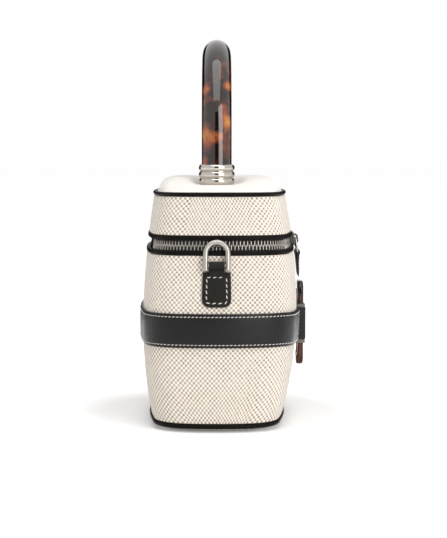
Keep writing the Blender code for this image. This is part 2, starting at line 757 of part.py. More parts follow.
def build_ferrule(name, x, carrier):
    # A cup with rounded ribs round its outside, which holds the foot of the handle
    crest = FERRULE_DIAMETER / 2
    groove = crest - FERRULE_GROOVE_DEPTH
    rib = FERRULE_HEIGHT / FERRULE_RIBS
    profile = [(HANDLE_DIAMETER / 2 + GAP, FERRULE_HEIGHT)]
    for k in range(FERRULE_RIBS):
        for i in range(4 if k == FERRULE_RIBS - 1 else 3):
            depth = (k + i / 3) * rib
            profile.append((groove + FERRULE_GROOVE_DEPTH * sin(pi * i / 3) ** 0.5, FERRULE_HEIGHT - depth))
    profile.append((SCREW_DIAMETER / 2 + GAP, 0.0))
    profile.append((SCREW_DIAMETER / 2 + GAP, FERRULE_FLOOR))
    profile.append((HANDLE_DIAMETER / 2 + GAP, FERRULE_FLOOR))
    turned(name, profile, (x, 0, FERRULE_FOOT), 20, silver, carrier, closed=True)


def build_screw(name, x, carrier):
    head_top = PLATE_TOP - PLATE_THICKNESS - GAP
    length = TUBE_FOOT + SCREW_BITE - head_top
    profile = [(0.0, length), (SCREW_DIAMETER / 2, length), (SCREW_DIAMETER / 2, 0.0),
               (SCREW_HEAD_DIAMETER / 2, 0.0), (SCREW_HEAD_DIAMETER / 2, -0.6 * SCREW_HEAD_HEIGHT),
               (SCREW_HEAD_DIAMETER / 4, -SCREW_HEAD_HEIGHT), (0.0, -SCREW_HEAD_HEIGHT)]
    turned(name, profile, (x, 0, head_top), 12, silver, carrier, closed=False)


# Belt and buckle

BAR_INNER = BELT_INNER + FOLD_INNER + GAP
BAR_OUTER = BAR_INNER + BUCKLE_THICKNESS
FOLD_REACH = BUCKLE_WIDTH / 2 + GAP + FOLD_TAIL


def belt_lift(station):
    # The belt sags a little toward the front middle
    place = wall_point(station, 0, BELT_LEVEL)
    share = min(max((BELT_DIP_START - place.y) / (BELT_DIP_START + BELLY_FRONT), 0.0), 1.0)
    return -BELT_DIP * share * share


def build_belt():
    lengths = running_lengths(0.0, BELT_LEVEL)
    start = station_at(FOLD_REACH + GAP, lengths)
    places = stations_between(start, STATIONS - start)
    rows = [BELT_FOOT, BELT_LEVEL, BELT_TOP]
    section = [(BELT_OUTER, z) for z in rows] + [(BELT_INNER, z) for z in reversed(rows)]
    add_piece("belt_strap", wall_band(section, places, belt_lift), leather)


def buckle_place():
    place = wall_frame(0, BELT_LEVEL - BELT_DIP)
    upright = Matrix.Translation(place.translation)
    return upright @ Matrix(((1, 0, 0, 0), (0, -1, 0, 0), (0, 0, 1, 0), (0, 0, 0, 1)))


def build_buckle():
    # An upright frame with a straight face, which grows thicker toward the bag at its top and foot
    bar = BUCKLE_BAR_WIDTH
    corner = BUCKLE_CORNER - bar / 2
    route = frame_route(BUCKLE_WIDTH - bar, BUCKLE_HEIGHT - bar, corner)
    bevel = 0.25 * BUCKLE_THICKNESS
    half = bar / 2
    section = [(-half + bevel, BAR_INNER), (half - bevel, BAR_INNER), (half, BAR_INNER + bevel),
               (half, BAR_OUTER - bevel), (half - bevel, BAR_OUTER), (-half + bevel, BAR_OUTER),
               (-half, BAR_OUTER - bevel), (-half, BAR_INNER + bevel)]
    rings = []
    for (x, z), (out_x, out_z) in route:
        most = BUCKLE_TOP_SWELL if z > 0 else BUCKLE_FOOT_SWELL
        swell = most * (2 * z / BUCKLE_HEIGHT) ** BUCKLE_SWELL_POWER
        depths = [deep - swell * (BAR_OUTER - deep) / BUCKLE_THICKNESS for side, deep in section]
        rings.append([(x + out_x * side, depth, z + out_z * side)
                      for (side, deep), depth in zip(section, depths)])
    bm = loft(rings, True)
    bmesh.ops.transform(bm, matrix=buckle_place(), verts=bm.verts)
    add_piece("buckle_frame", bm, tortoise)


def frame_route(width, height, corner):
    # Points and outward directions round an upright rounded rectangle, with five more up each side
    route = []
    steps = 4
    straight = height / 2 - corner
    for side_x, side_z, start in ((1, -1, -0.5 * pi), (1, 1, 0), (-1, 1, 0.5 * pi), (-1, -1, pi)):
        centre = (side_x * (width / 2 - corner), side_z * straight)
        for i in range(steps + 1):
            angle = start + 0.5 * pi * i / steps
            direction = (cos(angle), sin(angle))
            route.append(((centre[0] + corner * direction[0], centre[1] + corner * direction[1]), direction))
        if side_x * side_z < 0:
            for share in (-0.8, -0.5, 0.0, 0.5, 0.8):
                route.append(((side_x * width / 2, side_x * share * straight), (side_x, 0.0)))
    return route


def build_belt_folds():
    # Each belt end wraps one side bar of the buckle and is sewn to itself beside it
    inner_edge = BUCKLE_WIDTH / 2 - BUCKLE_BAR_WIDTH - GAP
    outer_edge = BUCKLE_WIDTH / 2 + GAP
    out = BAR_OUTER + GAP
    face = out + FOLD_OUTER
    wrap = FOLD_OUTER - GAP
    soft = FOLD_OUTER / 2
    outside = [(inner_edge - wrap, BELT_INNER + soft), (inner_edge - wrap + soft, BELT_INNER),
               (FOLD_REACH, BELT_INNER), (FOLD_REACH, BELT_OUTER + GAP), (outer_edge + soft, face - soft),
               (outer_edge - soft, face), (inner_edge - wrap + 2 * soft, face),
               (inner_edge - wrap, face - 2 * soft)]
    hole = [(inner_edge, BELT_INNER + FOLD_INNER), (outer_edge, BELT_INNER + FOLD_INNER),
            (outer_edge, out), (inner_edge, out)]
    for side, word in ((-1, "left"), (1, "right")):
        place = buckle_place() @ Matrix.Scale(side, 4, (1, 0, 0))
        add_piece("belt_fold_" + word, extrusion([outside, hole], FOLD_WIDTH, place), leather)
        build_collars(word, inner_edge, outer_edge, place)


def build_collars(word, inner_edge, outer_edge, place):
    wall = COLLAR_THICKNESS
    low, high = BAR_INNER - GAP, BAR_OUTER + GAP
    outside = [(inner_edge - wall, low - wall), (outer_edge + wall, low - wall),
               (outer_edge + wall, high + wall), (inner_edge - wall, high + wall)]
    hole = [(inner_edge, low), (outer_edge, low), (outer_edge, high), (inner_edge, high)]
    for level, end in ((1, "upper"), (-1, "lower")):
        height = level * (FOLD_WIDTH / 2 + GAP + COLLAR_HEIGHT / 2)
        ring = extrusion([outside, hole], COLLAR_HEIGHT, place @ Matrix.Translation((0, 0, height)))
        add_piece("buckle_collar_" + end + "_" + word, ring, silver)


# End rings

def ring_frame(station):
    return wall_frame(station, RING_BAR_LEVEL)


def build_patch(name, station):
    # A leather patch with rounded lower corners, and the loop above it that holds the ring's bar
    lengths = running_lengths(0.0, PATCH_TOP)
    middle = lengths[LEFT_END]
    half = PATCH_WIDTH / 2
    straight = half - PATCH_CORNER
    columns = [-half, -half + 0.15 * PATCH_CORNER, -half + 0.5 * PATCH_CORNER, -straight]
    columns = columns + [0.0] + [-c for c in reversed(columns)]
    inner, outer = GAP, GAP + PATCH_THICKNESS
    rings = []
    for across in columns:
        place = station_at(middle + across, lengths)
        place = place if station == LEFT_END else STATIONS - place
        past = max(abs(across) - straight, 0.0)
        foot = PATCH_TOP - PATCH_HEIGHT + PATCH_CORNER - sqrt(max(PATCH_CORNER ** 2 - past ** 2, 0.0))
        rings.append([wall_point(place, inner, foot), wall_point(place, outer, foot),
                      wall_point(place, outer, PATCH_TOP), wall_point(place, inner, PATCH_TOP)])
    patch = loft(rings, False)
    bar = (RING_STAND_OFF, 0.0)
    bore = RING_BAR_DIAMETER / 2 + GAP
    around = bore + LOOP_LEATHER
    drop = PATCH_TOP - RING_BAR_LEVEL
    swing = [radians(-40 + 220 * i / 8) for i in range(9)]
    outside = [(bar[0] + around * cos(a), around * sin(a)) for a in swing]
    inset = 0.2 * PATCH_THICKNESS
    outside += [(inner + inset, 0.9 * drop), (inner + inset, 1.7 * drop),
                (outer - inset, 1.7 * drop), (outer, 1.05 * drop)]
    hole = circle(bar, bore, 10)
    along_sketch = Matrix(((0, 0, 1, 0), (1, 0, 0, 0), (0, 1, 0, 0), (0, 0, 0, 1)))
    leg_inside = RING_WIDTH / 2 - RING_WIRE
    loop = extrusion([outside, hole], 2 * (leg_inside - GAP), ring_frame(station) @ along_sketch)
    add_piece(name, combine(patch, loop, "UNION"), trim_leather)


def build_ring(name, station, carrier):
    # A ring with a cross bar; its arch leans back until it rests on the zip binding
    wire = RING_WIRE / 2
    leg = RING_WIDTH / 2 - wire
    arch = RING_RISE - wire
    frame = ring_frame(station)
    top = frame.inverted() @ wall_point(station, BINDING_PROUD, RING_BAR_LEVEL + arch)
    lean = atan2(RING_STAND_OFF - (top.y + GAP + wire), arch)
    steps = 10
    route = [(-leg, -RING_STUB)]
    for i in range(steps + 1):
        angle = pi - pi * i / steps
        route.append((leg * cos(angle), arch - leg + leg * sin(angle)))
    route.append((leg, -RING_STUB))
    bent = [(x, RING_STAND_OFF - z * sin(lean), z * cos(lean)) for x, z in route]
    hoop = tube([frame @ Vector(p) for p in bent], RING_WIRE, sides=10)
    ends = [frame @ Vector((side * leg, RING_STAND_OFF, 0)) for side in (-1, 1)]
    bar = cylinder(ends[0], ends[1], RING_BAR_DIAMETER, sides=10)
    add_piece(name, combine(hoop, bar, "UNION"), silver, carrier)


# Sliders and pulls

def slider_frame(side):
    # The front wall is an arc, so the slider's place is an angle about the arc's centre
    centre_y = FRONT_RADIUS - ZIP_FRONT
    angle = side * SLIDER_OFFSET / FRONT_RADIUS
    slope = wall_frame(0, ZIP_LEVEL)
    turn = Matrix.Translation((0, centre_y, 0)) @ Matrix.Rotation(angle, 4, "Z") @ Matrix.Translation(
        (0, -centre_y, 0))
    return turn @ slope


BRIDGE_FOOT = SLIDER_OVERLAP + SLIDER_PLATE
BRIDGE_BORE = LINK_WIRE + 2 * GAP
LINK_AXIS_OUT = BRIDGE_FOOT + GAP + LINK_WIRE / 2


def build_slider(name, frame, carrier):
    # Outer plate over the bindings, a boss in the slot and a bridge that holds the pull
    half = SLIDER_LENGTH / 2
    boss_top = SLOT_HEIGHT / 2 - GAP
    boss_in = TEETH_OUTER + GAP
    lip = BINDING_PROUD + GAP
    overlap = 0.4 * BINDING_HEIGHT
    plate_half = SLOT_HEIGHT / 2 + overlap
    plate_face = rounded_rectangle(SLIDER_LENGTH, 2 * plate_half, 0.4 * plate_half, 3)
    lay = Matrix(((1, 0, 0, 0), (0, 0, 1, (lip + BRIDGE_FOOT) / 2), (0, 1, 0, 0), (0, 0, 0, 1)))
    body = extrusion([plate_face], BRIDGE_FOOT - lip, frame @ lay)
    boss = block((-0.8 * half, boss_in, -boss_top), (0.8 * half, (lip + BRIDGE_FOOT) / 2, boss_top), frame)
    body = combine(body, boss, "UNION")
    span = BRIDGE_SPAN / 2
    crest = BRIDGE_FOOT + BRIDGE_BORE + BRIDGE_WALL
    soft = BRIDGE_WALL
    foot = (lip + BRIDGE_FOOT) / 2
    bridge = [(foot, -span), (crest - soft, -span), (crest, -span + soft), (crest, span - soft),
              (crest - soft, span), (foot, span)]
    hole_half = span - BRIDGE_WALL
    hole = [(BRIDGE_FOOT, -hole_half), (BRIDGE_FOOT + BRIDGE_BORE, -hole_half),
            (BRIDGE_FOOT + BRIDGE_BORE, hole_half), (BRIDGE_FOOT, hole_half)]
    side_on = Matrix(((0, 0, 1, 0), (1, 0, 0, 0), (0, 1, 0, 0), (0, 0, 0, 1)))
    arch = extrusion([bridge, hole], BRIDGE_WIDTH, frame @ side_on)
    add_piece(name, combine(body, arch, "UNION"), silver, carrier)


def build_link(name, frame, carrier):
    # A wire ring through the bridge, which hangs down the wall
    width, drop = LINK_WIDTH - LINK_WIRE, LINK_LENGTH - LINK_WIRE
    outline_points = rounded_rectangle(width, drop, 1.2 * LINK_WIRE, 3)
    route = [frame @ Vector((x, LINK_AXIS_OUT, z - drop / 2)) for x, z in outline_points]
    add_piece(name, tube(route, LINK_WIRE, closed=True, sides=6), silver, carrier)


def build_tab(name, frame, carrier):
    # A leather tab whose eye goes round the lower bar of the link
    level = -(LINK_LENGTH - LINK_WIRE)
    bore = LINK_WIRE / 2 + GAP
    around = bore + 0.7 * TAB_THICKNESS
    foot_out = GAP + TAB_THICKNESS
    swing = [radians(-20 + 220 * i / 8) for i in range(9)]
    outside = [(LINK_AXIS_OUT + around * cos(a), level + around * sin(a)) for a in swing]
    outside += [(GAP + GAP, level - TAB_LENGTH), (foot_out, level - TAB_LENGTH)]
    hole = circle((LINK_AXIS_OUT, level), bore, 8)
    side_on = Matrix(((0, 0, 1, 0), (1, 0, 0, 0), (0, 1, 0, 0), (0, 0, 0, 1)))
    width = LINK_WIDTH - 2 * LINK_WIRE - 2 * GAP
    add_piece(name, extrusion([outside, hole], width, frame @ side_on), leather, carrier)


# Assembly

def build_bag():
    make_axis("lid_axis", (0, ZIP_BACK, ZIP_LEVEL))
    build_base()
    build_canvas("body_canvas_wall", BODY_WALL_FOOT, BODY_WALL_TOP)
    build_stiffener("body_stiffener", BODY_WALL_FOOT, LOWER_BINDING_TOP - TAPE_WIDTH - GAP)
    build_body_lining()
    build_zip_row(-1, None)
    build_teeth("zip_teeth_lower", -1, None)
    build_gusset()
    build_belt()
    build_buckle()
    build_belt_folds()
    build_lid_walls("lid_axis")
    build_zip_row(1, "lid_axis")
    build_teeth("zip_teeth_upper", 1, "lid_axis")
    build_lid_top("lid_axis")
    build_handle("lid_axis")
    for station, word in ((LEFT_END, "left"), (RIGHT_END, "right")):
        build_patch("ring_patch_" + word, station)
        make_axis("ring_axis_" + word, ring_frame(station) @ Vector((0, RING_STAND_OFF, 0)))
        build_ring("d_ring_" + word, station, "ring_axis_" + word)
    for side, word in ((-1, "left"), (1, "right")):
        frame = slider_frame(side)
        make_axis("slider_axis_" + word, (0, FRONT_RADIUS - ZIP_FRONT, ZIP_LEVEL))
        build_slider("zip_slider_" + word, frame, "slider_axis_" + word)
        bar = frame @ Vector((0, LINK_AXIS_OUT, 0))
        make_axis("link_axis_" + word, bar, "slider_axis_" + word)
        build_link("pull_link_" + word, frame, "link_axis_" + word)
        eye = frame @ Vector((0, LINK_AXIS_OUT, -(LINK_LENGTH - LINK_WIRE)))
        make_axis("tab_axis_" + word, eye, "link_axis_" + word)
        build_tab("pull_tab_" + word, frame, "tab_axis_" + word)


build_bag()
for axis_name, (axis_empty, axis_place) in axes.items():
    print(axis_name, [round(v, 5) for v in axis_place])
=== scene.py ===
# Vanity bag seen end-on: woven canvas, dark stitched leather, tortoiseshell handle, metal zip
import bpy
import bmesh
from bisect import bisect_right
from functools import lru_cache
from math import atan2, ceil, copysign, cos, dist, hypot, pi, radians, sin, sqrt
from mathutils import Matrix, Vector
from mathutils.bvhtree import BVHTree


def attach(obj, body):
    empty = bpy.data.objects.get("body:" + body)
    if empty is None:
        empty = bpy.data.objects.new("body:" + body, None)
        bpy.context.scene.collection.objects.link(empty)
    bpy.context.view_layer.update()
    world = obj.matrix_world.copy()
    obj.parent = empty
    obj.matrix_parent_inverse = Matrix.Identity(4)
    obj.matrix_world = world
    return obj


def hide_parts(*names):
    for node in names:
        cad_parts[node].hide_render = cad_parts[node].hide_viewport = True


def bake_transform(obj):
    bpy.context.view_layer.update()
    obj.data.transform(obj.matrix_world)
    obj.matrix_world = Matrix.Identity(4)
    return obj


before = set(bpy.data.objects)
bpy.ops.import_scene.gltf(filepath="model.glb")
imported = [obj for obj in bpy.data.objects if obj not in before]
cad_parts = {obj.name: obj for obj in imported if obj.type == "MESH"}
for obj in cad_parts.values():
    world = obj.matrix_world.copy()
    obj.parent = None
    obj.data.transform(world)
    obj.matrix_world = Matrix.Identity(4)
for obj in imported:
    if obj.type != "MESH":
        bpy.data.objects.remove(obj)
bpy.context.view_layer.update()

scene = bpy.context.scene
scene.view_settings.view_transform = "Standard"
gap = 0.0003  # air between neighbouring pieces


# Shader helpers

class Wire:
    # A socket that takes part in plain arithmetic
    def __init__(self, tree, socket):
        self.tree = tree
        self.socket = socket

    def math(self, operation, *others):
        return combine(self.tree, operation, self, *others)

    def clamped(self):
        return self.math("MAXIMUM", 0.0).math("MINIMUM", 1.0)

    def __add__(self, other):
        return self.math("ADD", other)

    def __sub__(self, other):
        return self.math("SUBTRACT", other)

    def __rsub__(self, other):
        return combine(self.tree, "SUBTRACT", other, self)

    def __mul__(self, other):
        return self.math("MULTIPLY", other)

    __radd__ = __add__
    __rmul__ = __mul__


def plug(tree, slot, value):
    if isinstance(value, Wire):
        tree.links.new(value.socket, slot)
    else:
        slot.default_value = value


def combine(tree, operation, *values):
    node = tree.nodes.new("ShaderNodeMath")
    node.operation = operation
    for slot, value in zip(node.inputs, values):
        plug(tree, slot, value)
    return Wire(tree, node.outputs[0])


def tone(red, green, blue):
    # Screen colour, 0 to 255, as the linear colour that shaders take
    def linear(value):
        value = value / 255
        return value / 12.92 if value <= 0.04045 else ((value + 0.055) / 1.055) ** 2.4
    return (linear(red), linear(green), linear(blue), 1.0)


class Finish:
    # One material and the few kinds of node that it needs
    def __init__(self, name, roughness=0.5, metallic=0.0, **fixed):
        self.material = bpy.data.materials.new(name)
        self.material.use_nodes = True
        self.tree = self.material.node_tree
        self.shader = self.tree.nodes["Principled BSDF"]
        fixed.update(Roughness=roughness, Metallic=metallic)
        for key, value in fixed.items():
            self.shader.inputs[key.replace("_", " ")].default_value = value

    def add(self, kind, settings=None, output=0, **values):
        node = self.tree.nodes.new("ShaderNode" + kind)
        for key, value in (settings or {}).items():
            setattr(node, key, value)
        for key, value in values.items():
            plug(self.tree, node.inputs[key.replace("_", " ")], value)
        return Wire(self.tree, node.outputs[output])

    def place(self, scale=(1, 1, 1), shift=(0, 0, 0)):
        spot = self.add("TexCoord", output=3)  # object coordinates
        return self.add("Mapping", Vector=spot, Scale=scale, Location=shift)

    def near(self, centre, radius):
        # 1 at the centre, falling to 0 at the radius
        shift = [-at / size for at, size in zip(centre, radius)]
        offset = self.place([1 / size for size in radius], shift)
        reach = self.add("VectorMath", {"operation": "LENGTH"}, output=1, Vector=offset)
        return (1.0 - reach).math("MAXIMUM", 0.0)

    def cloth(self):
        # Metres along the cloth and up it
        split = self.tree.nodes.new("ShaderNodeSeparateXYZ")
        plug(self.tree, split.inputs[0], self.add("UVMap"))
        return Wire(self.tree, split.outputs[0]), Wire(self.tree, split.outputs[1])

    def noise(self, scale, detail=2.0, distortion=0.0, spot=None):
        return self.add("TexNoise", Vector=spot or self.place(), Scale=scale, Detail=detail,
                        Distortion=distortion)

    def ramp(self, factor, stops):
        node = self.tree.nodes.new("ShaderNodeValToRGB")
        elements = node.color_ramp.elements
        while len(elements) < len(stops):
            elements.new(0.5)
        for element, (at, colour) in zip(elements, stops):
            element.position = at
            element.color = colour
        plug(self.tree, node.inputs[0], factor)
        return Wire(self.tree, node.outputs[0])

    def mix(self, factor, first, second):
        node = self.tree.nodes.new("ShaderNodeMix")
        node.data_type = "RGBA"
        for index, value in ((0, factor), (6, first), (7, second)):
            plug(self.tree, node.inputs[index], value)
        return Wire(self.tree, node.outputs[2])

    def bump(self, height, distance):
        node = self.add("Bump", Height=height, Strength=1.0, Distance=distance)
        plug(self.tree, self.shader.inputs["Normal"], node)

    def colour(self, value):
        plug(self.tree, self.shader.inputs["Base Color"], value)

    def rough(self, value):
        plug(self.tree, self.shader.inputs["Roughness"], value)


# Finishes

# Painted light in the weave's colour: the crest tone is a painted highlight on the thread tops and
# the shadow tone a painted shadow in the holes
weave = dict(
    cell=(0.0015, 0.00157), sheen=0.3, clouds=45.0, cloudShare=0.35, fibres=1100.0, yarns=430.0,
    yarnGain=2.2, yarnLoss=0.1, netLevel=1.05, netFall=1.9, netFuzz=0.5, netShare=0.92,
    underFall=2.4, underFuzz=1.2, underShare=0.36, crestStart=1.2, crestRise=1.4, crestShare=0.8,
    crest=tone(255, 251, 244), cloud=tone(236, 220, 204), shadow=tone(66, 47, 38), rough=0.95,
    polish=0.15, fibreBump=0.3)


def makeWoven(name, light, dark, shadeStrength, depth):
    # Threads pass over and under in turn. The colour follows the bump: painted highlight on the
    # thread crests, painted shade along the grooves between them, and painted shadow in the holes
    # where the grooves cross
    finish = Finish(name, Sheen_Weight=weave["sheen"])
    along, up = finish.cloth()
    across = (along * (pi / weave["cell"][0])).math("COSINE")
    height = (up * (pi / weave["cell"][1])).math("COSINE")
    broad = finish.noise(weave["clouds"], 3.0)
    fine = finish.noise(weave["fibres"], 1.0)
    yarn = finish.noise(weave["yarns"]) * weave["yarnGain"] - weave["yarnLoss"]
    threads = (across + height).math("ABSOLUTE")
    fuzz = fine - 0.5
    # Masks for painted light: the first runs along the grooves, the next sits in the holes where
    # they cross, the last on the crests
    grooveShade = (weave["netLevel"] - threads * weave["netFall"] + fuzz * weave["netFuzz"]).clamped()
    under = (across * height * -weave["underFall"] - 1.0 + fuzz * weave["underFuzz"]).clamped()
    over = ((threads - weave["crestStart"]) * weave["crestRise"]).clamped()
    cloth = finish.mix(broad * weave["cloudShare"], light, weave["cloud"])
    # Painted highlight on the crests, where the bump is highest
    cloth = finish.mix(over * weave["crestShare"], cloth, weave["crest"])
    # Painted shade in the dark tone along the grooves, where the bump is lowest
    cloth = finish.mix((grooveShade * yarn * shadeStrength * weave["netShare"]).clamped(), cloth, dark)
    # Painted shadow in the holes where the grooves cross
    holeShade = (under * yarn * shadeStrength * (weave["underShare"] + broad)).clamped()
    finish.colour(finish.mix(holeShade, cloth, weave["shadow"]))
    finish.rough(weave["rough"] - grooveShade * weave["polish"])
    finish.bump(threads * 0.5 + fine * weave["fibreBump"], depth)
    return finish.material


grain = dict(
    pores=900.0, poreWidth=0.12, poreBump=6.0, clouds=160.0, cloudBump=0.6, depth=0.00006,
    polish=0.24)


def makeLeather(name, base, worn, roughness, shine):
    finish = Finish(name, Specular_IOR_Level=shine)
    pores = finish.add("TexVoronoi", {"feature": "DISTANCE_TO_EDGE"}, Vector=finish.place(),
                       Scale=grain["pores"]).math("MINIMUM", grain["poreWidth"])
    cloud = finish.noise(grain["clouds"], 4.0)
    finish.colour(finish.mix(cloud, base, worn))
    finish.rough((cloud - 0.5) * grain["polish"] + roughness)
    finish.bump(pores * grain["poreBump"] + cloud * grain["cloudBump"], grain["depth"])
    return finish.material


# Each amber patch is a centre and a radius, in millimetres
amber = dict(
    scale=60.0, stretch=(1.0, 1.0, 0.8), shift=(0.37, 0.11, 0.05), swirl=0.9, cloudShare=0.7,
    smoke=210.0, smokeSwirl=0.5, smokeShare=0.2, pull=0.36, most=0.7, gloss=0.04, smear=0.05,
    polish=0.02,
    stops=[(0.0, tone(10, 4, 3)), (0.45, tone(30, 15, 10)), (0.55, tone(92, 42, 22)),
        (0.64, tone(144, 68, 27)), (0.78, tone(186, 120, 42))],
    patches=[(-52.5, 6.8, 214.3, 7, 5.5, 5.2), (-51.5, -6.6, 216.5, 7, 5, 4.6),
        (-61.5, -6.4, 196.5, 7, 6.2, 10.2), (-62.2, 6.6, 185, 8, 7.6, 11.5),
        (-64, 0.4, 184.2, 6, 5, 5), (-61, 8, 168, 6, 4.4, 6), (60, 7, 190, 8, 8, 11),
        (48, -8, 213, 9, 8, 9), (10, 9, 238, 12, 7, 8), (-15, -9, 233, 12, 7, 8)])


def makeTortoise(name, shine, coat):
    # Dark resin with drawn-out amber clouds under a clear polish
    finish = Finish(name, Specular_IOR_Level=shine, Coat_Weight=coat,
                    Coat_Roughness=amber["polish"])
    spot = finish.place(amber["stretch"], amber["shift"])
    cloud = finish.noise(amber["scale"], 3.0, amber["swirl"], spot)
    smoke = finish.noise(amber["smoke"], 2.0, amber["smokeSwirl"])
    glow = 0.0
    for patch in amber["patches"]:
        place = [value / 1000 for value in patch]
        glow = finish.near(place[:3], place[3:]) + glow
    glow = glow.math("MINIMUM", amber["most"])
    blend = cloud * amber["cloudShare"] + smoke * amber["smokeShare"] + glow * amber["pull"]
    finish.colour(finish.ramp(blend, amber["stops"]))
    finish.rough(smoke * amber["smear"] + amber["gloss"])
    return finish.material


polish = dict(
    haze=260.0, hazeShare=0.35, hazeTone=tone(150, 146, 140), smooth=0.7, vary=0.6,
    stretch=(1, 1, 8), scratches=900.0)


def makeMetal(name, colour, roughness, scratch):
    finish = Finish(name, metallic=1.0)
    haze = finish.noise(polish["haze"], 3.0)
    finish.colour(finish.mix(haze * polish["hazeShare"], colour, polish["hazeTone"]))
    finish.rough(haze * (roughness * polish["vary"]) + roughness * polish["smooth"])
    marks = finish.noise(polish["scratches"], spot=finish.place(polish["stretch"]))
    finish.bump(marks, scratch)
    return finish.material


def makeThread(twists=2200.0, depth=0.00008):
    finish = Finish("waxedThread", roughness=0.6)
    twist = finish.noise(twists, 1.0)
    finish.colour(finish.mix(twist, tone(196, 190, 180), tone(238, 234, 226)))
    finish.bump(twist, depth)
    return finish.material


ribbed = dict(fluff=700.0, fluffShare=0.5, ribShadeShare=0.35, depth=0.12)


def makeRibbed(name, light, dark, pitch):
    # Fine crosswise ribs, as on a zip tape or a plain lining, with painted shade between the ribs
    finish = Finish(name, roughness=0.8)
    along, up = finish.cloth()
    ribs = (along * (pi / pitch)).math("SINE").math("ABSOLUTE")
    rows = (up * (pi / pitch)).math("SINE").math("ABSOLUTE")
    fluff = finish.noise(ribbed["fluff"])
    # Painted shade: the colour darkens where the ribs' bump is low
    share = ribs * rows * ribbed["ribShadeShare"] + fluff * ribbed["fluffShare"]
    finish.colour(finish.mix(share, dark, light))
    finish.bump(ribs * rows, pitch * ribbed["depth"])
    return finish.material


# For the woven canvases the dark tone is painted shade for the grooves, and the number after it
# sets how strong that painted shade is
canvas = makeWoven("basketCanvas", tone(238, 228, 214), tone(128, 104, 86), 0.8, 0.00022)
# Painted light: the lid top gets a paler copy of the canvas with faint specks, standing in for the
# stronger light on the top
litTopCanvas = makeWoven("lidTopCanvas", tone(252, 249, 244), tone(214, 202, 186), 0.14, 0.0001)
leather = makeLeather("beltLeather", tone(7, 6, 6), tone(12, 10, 10), 0.32, 0.25)
trimLeather = makeLeather("trimLeather", tone(9, 7, 6), tone(18, 14, 12), 0.4, 0.07)
patchLeather = makeLeather("patchLeather", tone(20, 19, 16), tone(34, 33, 28), 0.42, 0.13)
tortoise = makeTortoise("tortoiseResin", 0.58, 0.24)
buckleResin = makeTortoise("buckleResin", 0.32, 0.0)
silver = makeMetal("polishedSilver", tone(196, 189, 180), 0.16, 0.00001)
satin = makeMetal("satinSilver", tone(172, 167, 161), 0.38, 0.00002)
teethMetal = makeMetal("toothMetal", tone(160, 154, 147), 0.32, 0.00002)
gunmetal = makeMetal("darkPlate", tone(96, 92, 88), 0.34, 0.00002)
thread = makeThread()
zipTape = makeRibbed("zipTape", tone(46, 43, 42), tone(20, 18, 18), 0.0006)
liningCloth = makeRibbed("liningCloth", tone(196, 176, 150), tone(160, 140, 116), 0.0008)
boardFinish = makeRibbed("stiffBoard", tone(182, 168, 148), tone(150, 136, 118), 0.0016)
print("finishes ready")


# The bag's outline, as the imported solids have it

form = dict(
    levels=(0.0, 0.066, 0.117, 0.1486), halfLength=(0.085, 0.09, 0.0885, 0.086),
    front=(0.0427, 0.053, 0.0501, 0.0449), back=(0.0428, 0.049, 0.0455, 0.0412), frontRadius=0.4,
    backRadius=0.45, endRadius=0.11, cornerRadius=0.025, frontSteps=22, cornerSteps=14, endSteps=10,
    backSteps=22)
leftEnd = form["frontSteps"] + form["cornerSteps"] + form["endSteps"]
backMiddle = leftEnd + form["endSteps"] + form["cornerSteps"] + form["backSteps"]
stations = 2 * backMiddle


def sizeAt(height, values):
    # The smooth curve through the values at the four levels
    total = 0.0
    for level, value in zip(form["levels"], values):
        for other in form["levels"]:
            if other != level:
                value *= (height - other) / (level - other)
        total += value
    return total


def between(a, b, share):
    return a[0] + (b[0] - a[0]) * share, a[1] + (b[1] - a[1]) * share


def arcPoints(centre, radius, start, end, steps, last=0):
    # Points along an arc, without its end unless last is 1
    angles = [start + (end - start) * i / steps for i in range(steps + last)]
    return [(centre[0] + radius * cos(a), centre[1] + radius * sin(a)) for a in angles]


def cornerCentre(sideY, sideReach, endX, endReach):
    # The centre from which a corner arc touches both the side's arc and the end's
    span = hypot(endX, sideY)
    along = (sideReach ** 2 - endReach ** 2 + span ** 2) / (2 * span)
    across = sqrt(sideReach ** 2 - along ** 2)
    dx, dy = endX / span, -sideY / span
    return min((dx * along - side * dy * across, sideY + dy * along + side * dx * across)
               for side in (1, -1))


@lru_cache(maxsize=None)
def outline(height, grow):
    # Six arcs make one half, from the front middle to the back middle
    front, back, end, corner = (form[part + "Radius"]
                                for part in ("front", "back", "end", "corner"))
    frontY = front - sizeAt(height, form["front"])
    backY = sizeAt(height, form["back"]) - back
    endX = end - sizeAt(height, form["halfLength"])
    nearCorner = cornerCentre(frontY, front - corner, endX, end - corner)
    farCorner = cornerCentre(backY, back - corner, endX, end - corner)
    a1 = atan2(nearCorner[1] - frontY, nearCorner[0]) % (2 * pi)
    a2 = atan2(nearCorner[1], nearCorner[0] - endX) % (2 * pi)
    a3 = atan2(farCorner[1], farCorner[0] - endX) % (2 * pi)
    a4 = atan2(farCorner[1] - backY, farCorner[0]) % (2 * pi)
    arcs = [((0, frontY), front, 1.5 * pi, a1, form["frontSteps"]),
            (nearCorner, corner, a1, a2, form["cornerSteps"]),
            ((endX, 0), end, a2, pi, form["endSteps"]), ((endX, 0), end, pi, a3, form["endSteps"]),
            (farCorner, corner, a3, a4, form["cornerSteps"]),
            ((0, backY), back, a4, 0.5 * pi, form["backSteps"])]
    half = [p for centre, radius, *turn in arcs for p in arcPoints(centre, radius + grow, *turn)]
    return half + [(0.0, backY + back + grow)] + [(-x, y) for x, y in reversed(half[1:])]


def wallPoint(station, grow, height):
    loop = outline(height, grow)
    whole = int(station // 1)
    spot = between(loop[whole % stations], loop[(whole + 1) % stations], station - whole)
    return Vector((*spot, height))


def wallLoop(grow, height):
    return [wallPoint(i, grow, height) for i in range(stations)]


